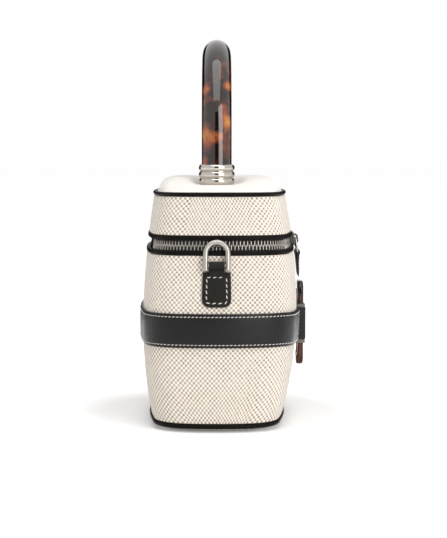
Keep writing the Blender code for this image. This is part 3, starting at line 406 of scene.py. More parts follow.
def wallFrame(station, height, step=0.003):
    # x along the wall, y out of it, z up it, with the origin on its face
    along = (wallPoint(station + 0.5, 0, height) - wallPoint(station - 0.5, 0, height)).normalized()
    up = wallPoint(station, 0, height + step) - wallPoint(station, 0, height - step)
    up = (up - along * up.dot(along)).normalized()
    out = up.cross(along)
    if out.dot(wallPoint(station, 1.0, height) - wallPoint(station, 0, height)) < 0:
        along, out = -along, -out
    matrix = Matrix((along, out, up)).transposed().to_4x4()
    matrix.translation = wallPoint(station, 0, height)
    return matrix


@lru_cache(maxsize=None)
def runTo(height):
    # Distance along the wall from the front middle to each station
    total = [0.0]
    for i in range(stations):
        total.append(total[-1] + (wallPoint(i + 1, 0, height) - wallPoint(i, 0, height)).length)
    return total


def stationAt(distance, height):
    # Distance runs from the front middle toward the left; negative runs toward the right
    run = runTo(height)
    size = abs(distance)
    low = bisect_right(run, size) - 1
    station = low + (size - run[low]) / (run[low + 1] - run[low])
    return station if distance >= 0 else -station


# Modelling helpers

crease = radians(40)  # a sharper edge than this isn't smoothed
sideways = Matrix(((0, 0, 1, 0), (1, 0, 0, 0), (0, 1, 0, 0), (0, 0, 0, 1)))  # out, up, across
corners = ((1, -1, -0.5), (1, 1, 0), (-1, 1, 0.5), (-1, -1, 1))  # signs and start of each arc


def finishMesh(name, bm, material):
    bmesh.ops.remove_doubles(bm, verts=bm.verts, dist=1e-7)
    bmesh.ops.recalc_face_normals(bm, faces=bm.faces)
    mesh = bpy.data.meshes.new(name)
    bm.to_mesh(mesh)
    bm.free()
    mesh.materials.append(material)
    mesh.shade_smooth()
    mesh.set_sharp_from_angle(angle=crease)
    piece = bpy.data.objects.new(name, mesh)
    scene.collection.objects.link(piece)
    return piece


def makePiece(name, bm, material, body, slotName, *nodes):
    piece = finishMesh(name, bm, material)
    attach(piece, body)
    if nodes:
        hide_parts(*nodes)
    return piece


def closedLine(bm, points):
    verts = [bm.verts.new(point) for point in points]
    edges = [bm.edges.new((verts[i], verts[(i + 1) % len(verts)])) for i in range(len(verts))]
    return verts, edges


def skin(rings, joined=False, capped=False, cloth=None):
    # Draws the first ring and extrudes it from ring to ring; cloth gives each point its UV
    bm = bmesh.new()
    row, firstEdges = closedLine(bm, rings[0])
    edges, rows = firstEdges, [row]
    if capped:
        bm.faces.new(row)
    for ring in rings[1:]:
        where = {vert.co.to_tuple(8): i for i, vert in enumerate(rows[-1])}
        grown = bmesh.ops.extrude_edge_only(bm, edges=edges)["geom"]
        fresh = [None] * len(ring)
        for vert in (g for g in grown if isinstance(g, bmesh.types.BMVert)):
            fresh[where[vert.co.to_tuple(8)]] = vert
        for vert, point in zip(fresh, ring):
            vert.co = point
        edges = [g for g in grown
                 if isinstance(g, bmesh.types.BMEdge) and set(g.verts) <= set(fresh)]
        rows.append(fresh)
    if joined:
        bmesh.ops.bridge_loops(bm, edges=firstEdges + edges)
    if capped:
        bm.faces.new(list(reversed(rows[-1])))
    if cloth:
        layer = bm.loops.layers.uv.new("UVMap")
        spot = {vert: (i, k) for k, line in enumerate(rows) for i, vert in enumerate(line)}
        for face in bm.faces:
            places = [spot[loop.vert] for loop in face.loops]
            wraps = max(p[0] for p in places) - min(p[0] for p in places) > len(row) / 2
            for loop, (i, k) in zip(face.loops, places):
                turnEnd = len(row) if wraps and i < len(row) / 2 else 0
                loop[layer].uv = cloth(i + turnEnd, k, loop.vert.co)
    return bm


def wallSkin(section, cloth=None):
    # A closed section of (offset, height) points carried all round the wall
    return skin([wallLoop(grow, height) for grow, height in section], joined=True, cloth=cloth)


def wallStrip(section, places, lift=lambda station: 0.0, cloth=None):
    # The same between two stations, with closed ends; lift raises the section along the way
    rings = [[wallPoint(s, g, h + lift(s)) for g, h in section] for s in places]
    return skin(rings, capped=True, cloth=cloth)


def placesBetween(start, end, least=1e-4):
    inner = range(int(start // 1) + 1, ceil(end))
    return [start] + [i for i in inner if i - start > least and end - i > least] + [end]


def softSection(low, high, inner, outer, edge, rows):
    # A flat band's section with rounded outer edges, from the inner foot round to the inner top
    points = [(inner, low)]
    points += arcPoints((outer - edge, low + edge), edge, -0.5 * pi, 0, 4, last=1)
    points += [(outer, low + edge + (high - low - 2 * edge) * i / rows) for i in range(1, rows)]
    points += arcPoints((outer - edge, high - edge), edge, 0, 0.5 * pi, 4, last=1)
    return points + [(inner, high + (low - high) * i / rows) for i in range(rows)]


def tubeRings(points, radius, sides, closed=False):
    # Rings of a round bar along a row of points, kept from twisting
    line = points[-1:] + points + points[:1] if closed else points[:1] + points + points[-1:]
    rings = []
    normal = None
    for before, point, after in zip(line, line[1:], line[2:]):
        tangent = (after - before).normalized()
        if normal is None:
            normal = Vector((0, 0, 1)) if abs(tangent.z) < 0.8 else Vector((0, 1, 0))
        normal = (normal - tangent * normal.dot(tangent)).normalized()
        side = tangent.cross(normal)
        rings.append([point + normal * x + side * y
                      for x, y in arcPoints((0, 0), radius, 0, 2 * pi, sides)])
    return rings


def roundTube(points, radius, sides, closed=False):
    return skin(tubeRings(points, radius, sides, closed), joined=closed, capped=not closed)


def joinInto(bm, other):
    mesh = bpy.data.meshes.new("part")
    other.to_mesh(mesh)
    other.free()
    bm.from_mesh(mesh)
    bpy.data.meshes.remove(mesh)


bead = dict(slant=radians(13), sides=6, rows=4, flat=0.8)


def stitchRow(spots, settings):
    # One small thread bead for each spot of (place, direction, outward)
    length, width = settings["stitchLength"], settings["stitchWidth"]
    bm = bmesh.new()
    for place, along, out in spots:
        verts = bmesh.ops.create_uvsphere(bm, u_segments=bead["sides"], v_segments=bead["rows"],
                                          radius=0.5)["verts"]
        along = (Matrix.Rotation(bead["slant"], 3, out) @ along).normalized()
        side = out.cross(along).normalized()
        turn = Matrix((side * width, out * width * bead["flat"], along * length))
        turn = Matrix.Translation(place) @ turn.transposed().to_4x4()
        bmesh.ops.transform(bm, matrix=turn, verts=verts)
    return bm


# Lower body, lid and lining

walls = dict(
    bodyFoot=0.00555, bodyTop=0.11075, lidFoot=0.12325, lidTop=0.14705, canvas=0.0012, edge=0.0004,
    rows=20)
base = dict(thick=0.0029, shoulder=0.009, steps=8, pipingLevel=0.0037, pipingRadius=0.00155)
rim = dict(level=0.1486, pipingRadius=0.00125)


def planCloth(i, k, co):
    return (co.x, co.y)


def makeWall(name, low, high, body, node):
    # The weave repeats a whole number of times round the wall
    section = softSection(low, high, -walls["canvas"], 0.0, walls["edge"], walls["rows"])
    run = runTo(form["levels"][1])
    pair = 2 * weave["cell"][0]
    whole = round(run[stations] / pair) * pair / run[stations]
    wall = wallSkin(section, cloth=lambda i, k, co: (run[i] * whole, section[k][1]))
    makePiece(name, wall, canvas, body, "canvas", node)


def makePiping(name, level, radius, body, node):
    cord = roundTube(wallLoop(-gap, level), radius, 14, closed=True)
    makePiece(name, cord, trimLeather, body, "trim_leather", node)


makeWall("bodyCanvas", walls["bodyFoot"], walls["bodyTop"], "body", "body_canvas_wall")
makeWall("lidCanvas", walls["lidFoot"], walls["lidTop"], "lid", "lid_canvas_wall")
shoulder = []
for i in range(base["steps"] + 1):
    angle = 0.5 * pi * i / base["steps"]
    inset = base["shoulder"] * (1 - sin(angle)) + (base["pipingRadius"] + 2 * gap) * sin(angle)
    shoulder.append(wallLoop(-inset, base["thick"] * (1 - cos(angle))))
makePiece("baseCanvas", skin(shoulder, capped=True, cloth=planCloth), canvas, "body", "canvas",
          "base_panel")
makePiping("basePiping", base["pipingLevel"], base["pipingRadius"], "body", "base_piping")
makePiping("lidPiping", rim["level"], rim["pipingRadius"], "lid", "lid_piping")

crown = dict(
    foot=walls["lidTop"] + gap + 0.0012, rise=0.0105, endPower=3.0, sidePower=12.0,
    reach=0.086 - rim["pipingRadius"] - 2 * gap, fill=0.95,
    edgeShares=[1.0, 0.992, 0.98, 0.965, 0.95, 0.93, 0.91, 0.885])
handle = dict(
    halfSpan=0.055, radius=0.0095, archLevel=0.1846, ferruleHeight=0.013, ferruleRadius=0.0114,
    groove=0.001, ribs=3, floor=0.0034, bore=0.0023, dimple=0.0075, dimpleRim=0.0006, sides=48,
    legSteps=8, archSteps=64)


def crownHeight(share, towardEnd=1.0):
    power = crown["sidePower"] + (crown["endPower"] - crown["sidePower"]) * towardEnd ** 4
    return crown["foot"] + crown["rise"] * (1 - share ** power)


ferruleFoot = crownHeight((handle["halfSpan"] + handle["ferruleRadius"]) / crown["reach"])


def domePoint(point, share):
    # The dome, pulled down round each foot of the handle
    height = crownHeight(share, min(abs(point.x) / crown["reach"], 1.0))
    x, y = point.x * share, point.y * share
    away = hypot(abs(x) - handle["halfSpan"], y) - handle["ferruleRadius"] - handle["dimpleRim"]
    pulled = 1 - min(max(away / handle["dimple"], 0.0), 1.0)
    pulled = pulled * pulled * (3 - 2 * pulled)
    return Vector((x, y, height + (min(ferruleFoot + 0.0002, height) - height) * pulled))


topEdge = wallLoop(-rim["pipingRadius"] - 2 * gap, walls["lidTop"] + gap)
shares = crown["edgeShares"] + [0.86 - 0.02 * i for i in range(41)]
topRings = [topEdge] + [[domePoint(p, share) for p in topEdge] for share in shares]
lidTop = makePiece("lidTopCanvas", skin(topRings, capped=True, cloth=planCloth), litTopCanvas,
                   "lid", "panel_canvas", "lid_top_panel")

lining = dict(outer=-0.0032, inner=-0.0039, floor=0.0062, thick=0.0007, ceiling=0.0018)


def makeLining(name, mouth, bottom, inside, steps, body, node):
    # One cup, drawn from its bottom to its mouth outside, and back inside
    def levels(end):
        return [end + (mouth - end) * i / steps for i in range(steps + 1)]
    rings = [wallLoop(lining["outer"], level) for level in levels(bottom)]
    rings += [wallLoop(lining["inner"], level) for level in reversed(levels(inside))]
    makePiece(name, skin(rings, capped=True, cloth=planCloth), liningCloth, body, "lining", node)


ceiling = walls["lidTop"] - lining["ceiling"]
makeLining("bodyLining", walls["bodyTop"], lining["floor"], lining["floor"] + lining["thick"], 10,
           "body", "body_lining")
makeLining("lidLining", walls["lidFoot"], ceiling, ceiling - lining["thick"], 5,
           "lid", "lid_lining")
print("walls, base, top and lining ready")


# Zip

zipper = dict(
    level=0.117, slot=0.0067, bindingHeight=0.0026, proud=0.0005, bindingThick=0.0023,
    tapeOuter=-0.0021, tapeInner=-0.0029, tapeWidth=0.0095, tapeLip=0.0012, teethOuter=-0.0013,
    teethDepth=0.002, toothWidth=0.00078, toothReach=0.0006, toothEdge=0.00024, pitch=0.0023,
    gusset=0.058, hingeRows=24, ribStep=0.0026)
zipLevel = zipper["level"]
zipReach = runTo(zipLevel)[backMiddle] - zipper["gusset"]


def bindingSection(side):
    near = zipLevel + side * zipper["slot"] / 2
    inner = zipper["proud"] - zipper["bindingThick"]
    points = [(inner, near)]
    for angle in (pi * i / 8 for i in range(9)):
        height = zipper["bindingHeight"] / 2 * (1 - cos(angle))
        points.append((zipper["proud"] * sin(angle) ** 0.5 + 0.00005, near + side * height))
    return points + [(inner, near + side * zipper["bindingHeight"])]


def toothTemplate():
    # A rounded bar whose top reaches past the middle and whose foot grips the tape
    bm = bmesh.new()
    bmesh.ops.create_cube(bm, size=1.0)
    depth, reach = zipper["teethDepth"], zipper["toothReach"]
    height = zipper["slot"] / 2 - gap + reach
    bmesh.ops.scale(bm, verts=bm.verts, vec=(zipper["toothWidth"], depth, height))
    bmesh.ops.translate(bm, verts=bm.verts, vec=(0, -depth / 2, height / 2 - reach))
    front = [e for e in bm.edges if all(v.co.y > -1e-6 for v in e.verts)]
    bmesh.ops.bevel(bm, geom=front, offset=zipper["toothEdge"], segments=2, profile=0.5,
                    affect="EDGES", material=-1)
    mesh = bpy.data.meshes.new("tooth")
    bm.to_mesh(mesh)
    bm.free()
    return mesh


def makeTeeth(side, word, body):
    # The upper row has one tooth fewer and stands half a pitch further on
    reach = zipReach - 2 * gap
    pairs = int(2 * reach / zipper["pitch"])
    pitch = 2 * reach / pairs
    template = toothTemplate()
    shape = Matrix.Translation((0, zipper["teethOuter"], 0)) @ Matrix.Scale(side, 4, (0, 0, 1))
    bm = bmesh.new()
    for i in range(pairs if side < 0 else pairs - 1):
        distance = -reach + (i + (0.5 if side < 0 else 1.0)) * pitch
        before = len(bm.verts)
        bm.from_mesh(template)
        bm.verts.ensure_lookup_table()
        turn = wallFrame(stationAt(distance, zipLevel), zipLevel) @ shape
        bmesh.ops.transform(bm, matrix=turn, verts=bm.verts[before:])
    bpy.data.meshes.remove(template)
    makePiece(word + "Teeth", bm, teethMetal, body, "teeth_metal", "zip_teeth_" + word)


def makeZipHalf(side, word, body):
    makePiece(word + "ZipBinding", wallSkin(bindingSection(side)), trimLeather, body,
              "trim_leather", body + "_zip_binding")
    near = zipLevel + side * zipper["tapeLip"]
    far = zipLevel + side * (zipper["slot"] / 2 + zipper["tapeWidth"])
    end = stationAt(zipReach - gap, zipLevel)
    outer, inner = zipper["tapeOuter"], zipper["tapeInner"]
    section = [(outer, near), (outer, far), (inner, far), (inner, near)]
    strip = wallStrip(section, placesBetween(-end, end),
                      cloth=lambda i, k, co: (k * zipper["ribStep"], co.z))
    makePiece(word + "ZipTape", strip, zipTape, body, "tape", "zip_tape_" + word)


makeZipHalf(-1, "lower", "body")
makeZipHalf(1, "upper", "lid")
makeTeeth(-1, "lower", "body")
makeTeeth(1, "upper", "lid")

start = stationAt(zipReach + gap, zipLevel)
half = zipper["slot"] / 2
foot, rise = zipLevel - half - zipper["tapeWidth"], 2 * (half + zipper["tapeWidth"])
hingeLevels = [foot + rise * i / zipper["hingeRows"] for i in range(zipper["hingeRows"] + 1)]
hingeSection = [(zipper["tapeOuter"], z) for z in hingeLevels]
hingeSection += [(zipper["tapeInner"], z) for z in reversed(hingeLevels)]
hinge = wallStrip(hingeSection, placesBetween(start, stations - start))
hingeLeather = finishMesh("hingeLeather", hinge, trimLeather)
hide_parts("hinge_gusset")
hingeY = wallPoint(backMiddle, zipper["tapeOuter"], zipLevel).y
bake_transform(hingeLeather)
print("zip ready")


# Belt, folded ends, buckle

belt = dict(
    level=0.0642, width=0.0212, inner=0.0003, thick=0.0017, edge=0.0005, crown=0.00035, rows=12,
    dip=0.003, dipReach=0.08, dipSlope=1.25, stitchInset=0.0019, stitchLength=0.0019,
    stitchPitch=0.0024, stitchWidth=0.0006, stitchSink=0.00012, seamStart=0.004, crossSeam=0.0028,
    crossStitches=6)
buckle = dict(
    width=0.026, height=0.0559, bar=0.0065, thick=0.0036, corner=0.007, inner=0.0012,
    topSwell=0.0007, footSwell=0.002, swellPower=4, square=0.45, sides=20, turns=12)
fold = dict(width=0.0206, inner=0.0006, outer=0.0012, tail=0.0031, edge=0.0004, points=64)
foldReach = buckle["width"] / 2 + gap + fold["tail"]


def beltLift(station):
    # The strap runs level round the ends and sinks toward the buckle on the front
    place = wallPoint(station, 0, belt["level"])
    share = max(1 - abs(place.x) / belt["dipReach"], 0.0) if place.y < 0 else 0.0
    return -belt["dip"] * min(belt["dipSlope"] * share, 1.0)


def beltSection():
    # The face swells slightly between its pressed edges
    half = belt["width"] / 2
    outer = belt["inner"] + belt["thick"] - belt["crown"]
    points = []
    for grow, z in softSection(belt["level"] - half, belt["level"] + half, belt["inner"], outer,
                               belt["edge"], belt["rows"]):
        share = abs(z - belt["level"]) / half
        swell = belt["crown"] * (1 - share ** 4) if grow > belt["inner"] + 1e-6 else 0
        points.append((grow + swell, z))
    return points


def beltSpot(station, height, way):
    # A stitch on the strap's face, running along the wall (way 0) or up it (way 2)
    here = wallFrame(station, height + beltLift(station))
    face = belt["inner"] + belt["thick"] - belt["stitchSink"]
    return here @ Vector((0, face, 0)), here.col[way].to_3d(), here.col[1].to_3d()


start = stationAt(foldReach + gap, belt["level"])
strap = wallStrip(beltSection(), placesBetween(start, stations - start), beltLift)
makePiece("beltStrap", strap, leather, "body", "leather", "belt_strap")

first, pitch = foldReach + belt["seamStart"], belt["stitchPitch"]
reaches = [first + (i + 0.5) * pitch
           for i in range(int((runTo(belt["level"])[backMiddle] - first) / pitch))]
spots = []
for side in (-1, 1):
    level = belt["level"] + side * (belt["width"] / 2 - belt["stitchInset"])
    for way in (-1, 1):
        spots += [beltSpot(stationAt(way * reach, level), level, 0) for reach in reaches]
for way in (-1, 1):
    station = stationAt(way * (foldReach + belt["crossSeam"]), belt["level"])
    lowest = belt["level"] - (belt["crossStitches"] - 1) / 2 * pitch
    spots += [beltSpot(station, lowest + i * pitch, 2) for i in range(belt["crossStitches"])]
makePiece("beltStitches", stitchRow(spots, belt), thread, "body", "leather")


def evened(points, count):
    # Rounds a closed outline's corners and spreads points evenly round it
    for turn in range(2):
        points = [between(a, b, share) for a, b in zip(points, points[1:] + points[:1])
                  for share in (0.25, 0.75)]
    following = points[1:] + points[:1]
    lengths = [dist(a, b) for a, b in zip(points, following)]
    total = sum(lengths)
    result = []
    index, passed = 0, 0.0
    for k in range(count):
        goal = total * k / count
        while passed + lengths[index] < goal:
            passed += lengths[index]
            index += 1
        share = (goal - passed) / lengths[index]
        result.append(between(points[index], following[index], share))
    return result


def band(outside, hole, width, edge, place):
    # A leather band round a hole, with fine edges. The sketch axes are across and out, and the
    # width runs up. The hole is turned to begin beside the outline's first point
    near = min(range(len(hole)), key=lambda i: dist(hole[i], outside[0]))
    hole = hole[near:] + hole[:near]
    middle = [sum(values) / len(outside) for values in zip(*outside)]
    rings = []
    for angle in (pi * i / 8 for i in range(5)):
        shrink, rise = edge * (1 - sin(angle)), width / 2 - edge * cos(angle)
        rings.append([Vector((*between(spot, middle, shrink / dist(spot, middle)), rise))
                      for spot in outside])
    rings += [[Vector((p.x, p.y, -p.z)) for p in ring] for ring in reversed(rings)]
    rings += [[Vector((x, y, z)) for x, y in hole] for z in (-width / 2, width / 2)]
    bm = skin(rings, joined=True)
    bmesh.ops.transform(bm, matrix=place, verts=bm.verts)
    return bm


barOuter = buckle["inner"] + buckle["thick"]
buckleAt = Matrix.Translation(wallPoint(0, 0, belt["level"] - belt["dip"]))
buckleAt = buckleAt @ Matrix.Scale(-1, 4, (0, 1, 0))


def makeFold(side, word):
    inside, outer = buckle["width"] / 2 - buckle["bar"] - gap, buckle["width"] / 2 + gap
    under, over, back = belt["inner"], barOuter + gap, belt["inner"] + fold["inner"]
    face, soft, wrap = over + fold["outer"], fold["outer"] / 2, inside - fold["outer"] + gap
    outside = [(wrap, under + soft), (wrap + soft, under), (foldReach, under),
               (foldReach, under + belt["thick"] + gap), (outer + soft, face - soft),
               (outer - soft, face), (wrap + 2 * soft, face), (wrap, face - 2 * soft)]
    hole = [(inside, back), (outer, back), (outer, over), (inside, over)]
    place = buckleAt @ Matrix.Scale(side, 4, (1, 0, 0))
    bm = band(evened(outside, fold["points"]), evened(hole, fold["points"]), fold["width"],
              fold["edge"], place)
    makePiece("beltFold" + word.title(), bm, leather, "body", "leather", "belt_fold_" + word)


def makeBuckle():
    # A squared bar swept round a tall rounded rectangle, thicker toward the bag at top and foot
    bar, thick, sides = buckle["bar"], buckle["thick"], buckle["sides"]
    corner = buckle["corner"] - bar / 2
    reach, straight = (buckle["width"] - bar) / 2, (buckle["height"] - bar) / 2 - corner
    route = []
    for sx, sz, begin in corners:
        for wx, wz in arcPoints((0, 0), 1, begin * pi, (begin + 0.5) * pi, buckle["turns"], 1):
            route.append((sx * (reach - corner) + corner * wx, sz * straight + corner * wz, wx, wz))
        if sx * sz < 0:
            route += [(sx * reach, sx * i / 10 * straight, sx, 0) for i in range(-9, 10, 2)]
    rings = []
    for x, z, wx, wz in route:
        swell = buckle["topSwell"] if z > 0 else buckle["footSwell"]
        swell *= (2 * z / buckle["height"]) ** buckle["swellPower"]
        ring = []
        for across, deep in arcPoints((0, 0), 1, pi / sides, 2 * pi + pi / sides, sides):
            side = bar / 2 * copysign(abs(across) ** buckle["square"], across)
            depth = barOuter - thick / 2 * (1 - copysign(abs(deep) ** buckle["square"], deep))
            depth -= swell * (barOuter - depth) / thick
            ring.append(Vector((x + wx * side, depth, z + wz * side)))
        rings.append(ring)
    bm = skin(list(zip(*rings)), joined=True)
    bmesh.ops.transform(bm, matrix=buckleAt, verts=bm.verts)
    makePiece("buckleFrame", bm, buckleResin, "body", "tortoise", "buckle_frame")


makeFold(-1, "left")
makeFold(1, "right")
makeBuckle()
print("belt and buckle ready")


# Ring patches and rings on both ends

patch = dict(
    top=0.1007, height=0.0218, width=0.017, thick=0.0014, corner=0.005, edge=0.0004, columns=32,
    rows=8, swell=0.28, swellSlope=2.5, topFall=0.0001, loopLeather=0.0012, loopEdge=0.00035,
    loopPoints=48, stitchInset=0.0026, stitchTop=0.0031, stitchCorner=0.0018, stitchPitch=0.0035,
    stitchLength=0.0026, stitchWidth=0.00076, stitchSink=0.00005,
    tail=[(0.0003, 0.9), (0.0003, 1.7), (0.002, 1.9), (0.0022, 1.05)])
ring = dict(
    level=0.1048, width=0.017, wire=0.0033, bar=0.0022, rise=0.0161, stub=0.0035, standOff=0.0042,
    sides=20, archSteps=28, endDepth=0.35)


def endStation(side, across=0.0):
    # The station at a distance from the end's middle, mirrored for the right end
    station = stationAt(runTo(patch["top"])[leftEnd] + across, patch["top"])
    return station if side < 0 else stations - station


def patchFace(side):
    half, corner = patch["width"] / 2, patch["corner"]
    rings = []
    for i in range(patch["columns"] + 1):
        across = -half * cos(pi * i / patch["columns"])
        past = max(abs(across) - half + corner, 0.0)
        foot = patch["top"] - patch["height"] + corner - sqrt(max(corner ** 2 - past ** 2, 0.0))
        full = min(1.0, patch["swellSlope"] * (1 - abs(across) / half) ** 0.5)
        outer = gap + patch["thick"] * (1 - patch["swell"] * (1 - full))
        section = softSection(foot, patch["top"] - patch["topFall"] * (1 - full), gap, outer,
                              patch["edge"], patch["rows"])
        rings.append([wallPoint(endStation(side, across), g, h) for g, h in section])
    return skin(rings, capped=True)


def makePatch(side, word):
    # The leather with the band round the ring's bar; the band's tail runs down under the face
    bm = patchFace(side)
    out, bore = ring["standOff"], ring["bar"] / 2 + gap
    drop = patch["top"] - ring["level"]
    outside = arcPoints((out, 0), bore + patch["loopLeather"], radians(-40), pi, 12, last=1)
    outside += [(gap + depth, share * drop) for depth, share in patch["tail"]]
    hole = arcPoints((out, 0), bore, 0, 2 * pi, patch["loopPoints"])
    width = ring["width"] - 2 * ring["wire"] - 2 * gap
    place = wallFrame(endStation(side), ring["level"]) @ sideways
    joinInto(bm, band(evened(outside, patch["loopPoints"]), hole, width, patch["loopEdge"], place))
    face = BVHTree.FromBMesh(bm)
    makePiece("ringPatch" + word.title(), bm, patchLeather, "body", "trim_leather",
              "ring_patch_" + word)
    makePatchStitches(side, word, face)


def makePatchStitches(side, word, face):
    # A rounded rectangle of long stitches, laid on whatever leather is outermost there
    half, corner = patch["width"] / 2 - patch["stitchInset"], patch["stitchCorner"]
    low = patch["top"] - patch["height"] + patch["stitchInset"]
    path = [(-half, patch["top"] - patch["stitchTop"])]
    path += arcPoints((corner - half, low + corner), corner, pi, 1.5 * pi, 6, last=1)
    path += [(-x, z) for x, z in reversed(path)]
    spots = []
    carry = patch["stitchPitch"] / 2
    for a, b in zip(path, path[1:] + path[:1]):
        length = dist(a, b)
        while carry < length:
            x, z = between(a, b, carry / length)
            here = wallFrame(endStation(side, x), z)
            along, out, up = (here.col[i].to_3d() for i in range(3))
            way = along * (a[0] - b[0]) * side + up * (b[1] - a[1])
            touch = face.ray_cast(here @ Vector((0, 0.01, 0)), -out)[0]
            spots.append((touch - out * patch["stitchSink"], way.normalized(), out))
            carry += patch["stitchPitch"]
        carry -= length
    makePiece("patchStitches" + word.title(), stitchRow(spots, patch), thread, "body",
              "trim_leather")


def makeRing(side, word):
    # The wire leans in at the top until it nearly touches the zip binding
    wire, out, sides = ring["wire"] / 2, ring["standOff"], ring["sides"]
    leg, arch = ring["width"] / 2 - wire, ring["rise"] - wire
    station = endStation(side)
    here = wallFrame(station, ring["level"])
    top = here.inverted() @ wallPoint(station, zipper["proud"], ring["level"] + arch)
    lean = atan2(out - (top.y + gap + wire), arch)
    limb = [(-leg, -ring["stub"] * (1 - i / 4)) for i in range(4)]
    limb += [(-leg, (arch - leg) * i / 4) for i in range(4)]
    route = limb + arcPoints((0, arch - leg), leg, pi, 0, ring["archSteps"], last=1)
    route += [(-x, z) for x, z in reversed(limb)]
    points = [here @ Vector((x, out - z * sin(lean), z * cos(lean))) for x, z in route]
    rings = tubeRings(points, wire, sides)
    tips = []
    for end, step in ((0, 1), (-1, -1)):
        # Rounded ends
        centre = sum(rings[end], Vector()) / sides
        inward = (points[end + step] - points[end]).normalized() * wire * ring["endDepth"]
        tips.append([[centre + (p - centre) * cos(a) + inward * (1 - sin(a)) for p in rings[end]]
                     for a in (radians(75), radians(50), radians(25))])
    bm = skin(tips[0] + rings[1:-1] + tips[1][::-1], capped=True)
    bar = [here @ Vector((x, out, 0)) for x in (-leg, leg)]
    joinInto(bm, roundTube(bar, ring["bar"] / 2, 16))
    makePiece("endRing" + word.title(), bm, satin, "ring_" + word, "silver", "d_ring_" + word)


for side, word in ((-1, "left"), (1, "right")):
    makePatch(side, word)
    makeRing(side, word)
print("end patches and rings ready")


# Handle

def makeArch():
    foot = ferruleFoot + handle["floor"] + gap
    steps = handle["legSteps"]
    path = [(-handle["halfSpan"], foot + (handle["archLevel"] - foot) * i / steps)
            for i in range(steps)]
    path += arcPoints((0, handle["archLevel"]), handle["halfSpan"], pi, 0, handle["archSteps"], 1)
    path += [(-x, z) for x, z in reversed(path[:steps])]
    arch = roundTube([Vector((x, 0, z)) for x, z in path], handle["radius"], handle["sides"])
    makePiece("handleArch", arch, tortoise, "lid", "tortoise", "handle_tube")


def makeFerrule(side, word):
    # A closed profile of (radius, height), turned about an upright axis
    top, groove = handle["ferruleHeight"], handle["ferruleRadius"] - handle["groove"]
    bore, rib = handle["radius"] + gap, top / handle["ribs"]
    profile = [(bore, top)]
    for k in range(handle["ribs"]):
        for i in range(11):
            bulge = handle["groove"] * sin(pi * i / 10) ** 0.5
            profile.append((groove + bulge, top - (k + (i + 0.25) / 10.5) * rib))
    profile += [(handle["bore"], 0.0), (handle["bore"], handle["floor"]), (bore, handle["floor"])]
    bm = bmesh.new()
    verts, edges = closedLine(bm, [(radius, 0, height) for radius, height in profile])
    bmesh.ops.spin(bm, geom=verts + edges, cent=(0, 0, 0), axis=(0, 0, 1), angle=2 * pi,
                   steps=64, use_merge=True)
    bmesh.ops.translate(bm, verts=bm.verts, vec=(side * handle["halfSpan"], 0, ferruleFoot))
    makePiece("ferrule" + word.title(), bm, silver, "lid", "silver", "handle_ferrule_" + word)


makeArch()
makeFerrule(-1, "left")
makeFerrule(1, "right")
print("handle ready")


# Pulls

pull = dict(
    offset=0.0057, wire=0.001, width=0.0102, drop=0.01, bend=0.0012, overlap=0.0011, plate=0.0007,
    tabLength=0.0165, tabThick=0.0014, tabNeck=0.004, tabEdge=0.0003, tabPoints=48, stitchCount=5,
    stitchStart=0.0045, stitchInset=0.0013, stitchPitch=0.0022, stitchLength=0.0015,
    stitchWidth=0.00045)


def makePull(side, word):
    # A wire link and a leather tab, hung on the slider where it stands on the curved front
    centre = Matrix.Translation((0, form["frontRadius"] - form["front"][2], 0))
    turn = Matrix.Rotation(side * pull["offset"] / form["frontRadius"], 4, "Z")
    here = centre @ turn @ centre.inverted() @ wallFrame(0, zipLevel)
    wire, thick, bend = pull["wire"] / 2, pull["tabThick"], pull["bend"]
    out = pull["overlap"] + pull["plate"] + gap + wire
    across, tall = pull["width"] / 2 - wire, pull["drop"] / 2 - wire
    route = []
    for sx, sz, begin in corners:
        bendAt = (sx * (across - bend), sz * (tall - bend) - tall)
        route += arcPoints(bendAt, bend, begin * pi, (begin + 0.5) * pi, 6, last=1)
    link = roundTube([here @ Vector((x, out, z)) for x, z in route], wire, 12, closed=True)
    makePiece("pullLink" + word.title(), link, silver, "link_" + word, "silver",
              "pull_link_" + word)
    level, bore = -2 * tall, wire + gap
    around = bore + 0.7 * thick
    foot, neck = level - pull["tabLength"], level - pull["tabNeck"]
    outside = arcPoints((out, level), around, radians(-20), radians(200), 12, last=1)
    outside += [(out - around * 0.8, neck), (2 * gap, foot), (gap + thick, foot),
                (out + gap, neck)]
    hole = arcPoints((out, level), bore, 0, 2 * pi, pull["tabPoints"])
    width = pull["width"] - 2 * pull["wire"] - 2 * gap
    tab = band(evened(outside, pull["tabPoints"]), hole, width, pull["tabEdge"], here @ sideways)
    makePiece("pullTab" + word.title(), tab, leather, "tab_" + word, "leather",
              "pull_tab_" + word)
    spots = []
    face = out + around * 0.75
    for x in (pull["stitchInset"] - width / 2, width / 2 - pull["stitchInset"]):
        for i in range(pull["stitchCount"]):
            fall = pull["stitchStart"] + i * pull["stitchPitch"]
            depth = face - fall / pull["tabLength"] * (face - gap - thick)
            place = here @ Vector((x, depth, level - fall))
            spots.append((place, here.col[2].to_3d(), here.col[1].to_3d()))
    makePiece("tabStitches" + word.title(), stitchRow(spots, pull), thread, "tab_" + word,
              "leather")


makePull(-1, "left")
makePull(1, "right")


# Carried-over hard parts: softened edges and their finishes

def dress(name, finish, edge=0.0):
    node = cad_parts[name]
    for slot in node.material_slots:
        slot.material = finish
    if edge:
        weld = node.modifiers.new("weld", "WELD")
        weld.merge_threshold = 1e-5
        bevel = node.modifiers.new("edges", "BEVEL")
        bevel.width = edge
        bevel.segments = 2
        bevel.limit_method = "ANGLE"
        bevel.angle_limit = crease
        bevel.harden_normals = True


